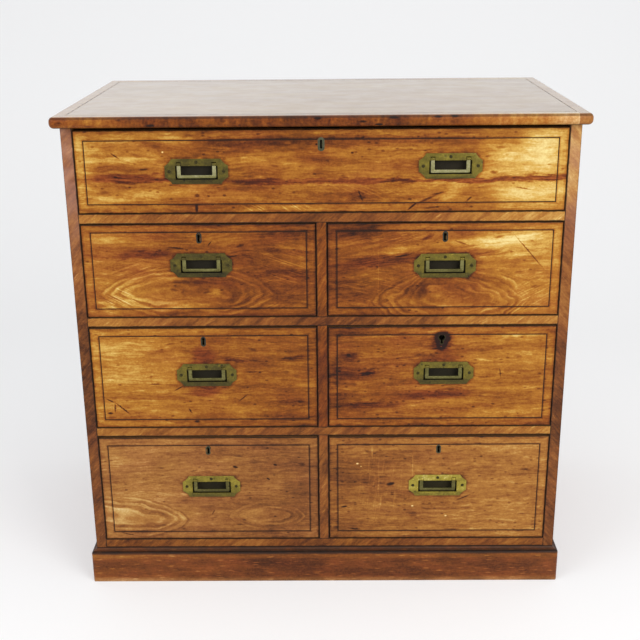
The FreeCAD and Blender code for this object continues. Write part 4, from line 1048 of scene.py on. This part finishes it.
def handle_plates(name, material, screw_material):
    """A drawer's handle castings with softened edges, and their screws turned as they were left."""
    mesh = copied(f"{name}_drawer_plates")
    places = []
    for part in loose_parts(mesh):
        ends = [vert.co.x for vert in part]
        if max(ends) - min(ends) < SCREW_WIDE:
            across = (max(ends) + min(ends)) / 2
            places.append((across, sum(vert.co.z for vert in part) / len(part)))
            bmesh.ops.delete(mesh, geom=part, context="VERTS")
    planed(mesh)
    front_edges = [edge for edge in sharp_edges(mesh, 60)
                   if all(vert.co.y < PLATE_FACE + NEAR / 2 for vert in edge.verts)]
    rounded(mesh, front_edges, PLATE_SOFT, 2)
    fitted_piece(f"{name}_handle_castings", mesh, material, f"{name}_drawer", "aged_brass",
                 f"{name}_drawer_plates")

    screws = bmesh.new()
    for across, up in sorted(places):
        one = screw()
        one.transform(Matrix.Translation((across, PLATE_FACE, up)) @ OUT_OF_FACE
                      @ Matrix.Rotation(random.uniform(-1.4, 1.4), 4, "Z"))
        loose = bpy.data.meshes.new("screw")
        one.to_mesh(loose)
        one.free()
        screws.from_mesh(loose)
        bpy.data.meshes.remove(loose)
    fitted_piece(f"{name}_handle_screws", screws, screw_material, f"{name}_drawer", "aged_brass")


PLATE_TONES = {"long": 0.36, "upper_left": 0.26, "upper_right": 0.42, "middle_left": 0.36,
               "middle_right": 0.4, "lower_left": 0.56, "lower_right": 0.72}
screw_brass = brass("screw_brass", 4050, 0.14, spread=0.3)
for order, (name, tone) in enumerate(PLATE_TONES.items()):
    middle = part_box(f"{name}_drawer_plates")[0].z / MM + PLATE_HALF_HIGH
    plate_brass = brass(f"{name}_plate_brass", 4100 + 100 * order, tone, middle=middle,
                        rise=0.07 if name == "long" else 0.0)
    handle_plates(name, plate_brass, screw_brass)


# --------------------------------------------------
# The bails: flat bar bent square into a drop handle and filed round, each arm with a knuckle that
# turns on a pin in the pan. Hands have rubbed them paler than the plates, and a painted reflection
# of the window makes them greyer.

# Rubbed brass, paler by wear and greyer by a painted reflection of the window.
RUBBED_AND_SHEEN = tints((0, 50, 45, 22), (0.3, 94, 88, 44), (0.55, 134, 129, 78), (0.8, 176, 171, 132),
               (1, 222, 218, 188))
ARM, BAR, BAIL_THICK, KNUCKLE = 7.0 * MM, 5.5 * MM, 4.0 * MM, 3.2 * MM
BAIL_CORNER, BAIL_SOFT, KNUCKLE_SOFT = 2.6 * MM, 1.3 * MM, 0.3 * MM


def bail(node, material, knuckle_material):
    """A bail's hoop, a U of flat bar with filed edges, and the barrels of its two knuckles."""
    low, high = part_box(node)
    middle_y, pivot = (low.y + high.y) / 2, high.z - KNUCKLE
    front_y = middle_y - BAIL_THICK / 2
    outline = corners_of(low.x, high.x, low.z, pivot + ARM)
    mesh = flat_rim([(x, front_y, z) for x, z in outline], ARM)
    sliced(mesh, (0, 0, pivot), (0, 0, 1), clear_outer=True)
    bar_top = [vert for vert in mesh.verts if abs(vert.co.z - low.z - ARM) < NEAR]
    bmesh.ops.translate(mesh, verts=bar_top, vec=(0, 0, BAR - ARM))
    grown(mesh, mesh.faces[:], (0, BAIL_THICK, 0))
    bmesh.ops.recalc_face_normals(mesh, faces=mesh.faces[:])
    corners = [edge for edge in sharp_edges(mesh, 80)
               if all(vert.co.z < low.z + NEAR for vert in edge.verts)
               and abs(edge.verts[0].co.x - edge.verts[1].co.x) < NEAR]
    rounded(mesh, corners, BAIL_CORNER, 5)
    arrises = [edge for edge in sharp_edges(mesh, 70)
               if abs(edge.verts[0].co.y - edge.verts[1].co.y) < NEAR
               and min(vert.co.z for vert in edge.verts) < pivot - NEAR]
    rounded(mesh, arrises, BAIL_SOFT, 3)
    fitted_piece(f"{node}_hoop", mesh, material, node, "aged_brass", node)

    barrels = bmesh.new()
    lying = Matrix.Rotation(math.radians(90), 4, "Y")
    for across in (low.x + ARM / 2, high.x - ARM / 2):
        on_pin = Matrix.Translation((across, middle_y, pivot)) @ lying
        bmesh.ops.create_cone(barrels, cap_ends=True, segments=32, radius1=KNUCKLE,
                              radius2=KNUCKLE, depth=ARM, matrix=on_pin)
    rounded(barrels, sharp_edges(barrels, 60), KNUCKLE_SOFT, 2)
    fitted_piece(f"{node}_knuckles", barrels, knuckle_material, node, "aged_brass")


# The bars get painted shade below the paler arms, and the top row's bails the most painted
# reflection of the window.
BAR_SHADE = 15
BAIL_TONES = {"long": 0.62, "upper": 0.44, "middle": 0.33, "lower": 0.28}
for row, (name, tone) in enumerate(BAIL_TONES.items()):
    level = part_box(f"{name}_left_bail")[0].z / MM + BAR_SHADE
    rubbed_sheen_brass = brass(f"{name}_bail_brass", 5000 + 100 * row, tone, RUBBED_AND_SHEEN, 0.6, 0.5, level)
    for node in bails_of(name):
        drawer = "long" if name == "long" else node.removesuffix("_bail")
        bail(node, rubbed_sheen_brass, bpy.data.materials[f"{drawer}_plate_brass"])


# --------------------------------------------------
# The locks: a cut drawer lock behind each front, with a bolt that is thrown upwards, and a brass
# thread with rounded ends let in round the keyhole. Keys and dirt have blackened all but one.

THREAD_DEEP, THREAD_PROUD, THREAD_SOFT = 1.2 * MM, 0.12 * MM, 0.2 * MM
# Each thread's width, height and wall, how far it sits aside of the front's middle, and its drop
# below the front's upper edge. The middle right one has lost its rim, and keeps the lock's own.
THREADS = {"long": (12.2, 24.4, 4.3, 0.8, 26.0), "upper_left": (9.8, 20.0, 2.2, 1.0, 24.8),
           "upper_right": (9.8, 20.0, 2.2, 0.8, 25.0), "middle_left": (9.6, 19.2, 2.2, 0.0, 27.0),
           "lower_left": (9.2, 18.0, 1.9, -1.2, 27.0), "lower_right": (9.2, 18.0, 1.9, 0.0, 26.4)}


def thread(name, material):
    """The thread: a ring round at both ends, let in by eye."""
    wide, tall, wall, aside, drop = (value * MM for value in THREADS[name])
    low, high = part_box(f"{name}_drawer_front")
    mesh = bmesh.new()
    for vert in bmesh.ops.create_circle(mesh, cap_ends=True, segments=32, radius=wide / 2)["verts"]:
        if abs(vert.co.y) > WELD:
            vert.co.y += math.copysign((tall - wide) / 2, vert.co.y)
    hollowed(mesh, wall)
    grown(mesh, mesh.faces[:], (0, 0, -THREAD_DEEP))
    place = ((low.x + high.x) / 2 + aside, FACE * MM - THREAD_PROUD, high.z - drop)
    mesh.transform(Matrix.Translation(place) @ OUT_OF_FACE)
    bmesh.ops.recalc_face_normals(mesh, faces=mesh.faces[:])
    rims = [edge for edge in sharp_edges(mesh, 60)
            if all(vert.co.y < FACE * MM for vert in edge.verts)]
    rounded(mesh, rims, THREAD_SOFT, 2)
    fitted_piece(f"{name}_keyhole_thread", mesh, material, f"{name}_drawer", "aged_brass")


VERDIGRIS = tints((0, 20, 19, 13), (0.4, 66, 66, 45), (0.7, 108, 106, 76), (1, 160, 160, 130))
long_thread = brass("long_thread_brass", 5500, 0.42, VERDIGRIS, 0.2)
dark_thread = brass("dark_thread_brass", 5600, 0.08, VERDIGRIS, 0.0, 0.3)
foot_thread = brass("lower_thread_brass", 5700, 0.34, VERDIGRIS, 0.1, 0.4)
thread_brasses = {"long": long_thread, "upper": dark_thread, "middle": dark_thread,
                  "lower": foot_thread}
black_lock = brass("lock_brass", 5800, 0.06, spread=0.2)
for name in DRAWERS:
    assign(f"{name}_drawer_lock", black_lock)
    assign(f"{name}_lock_bolt", screw_brass)
    if name in THREADS:
        thread(name, thread_brasses[name.split("_")[0]])
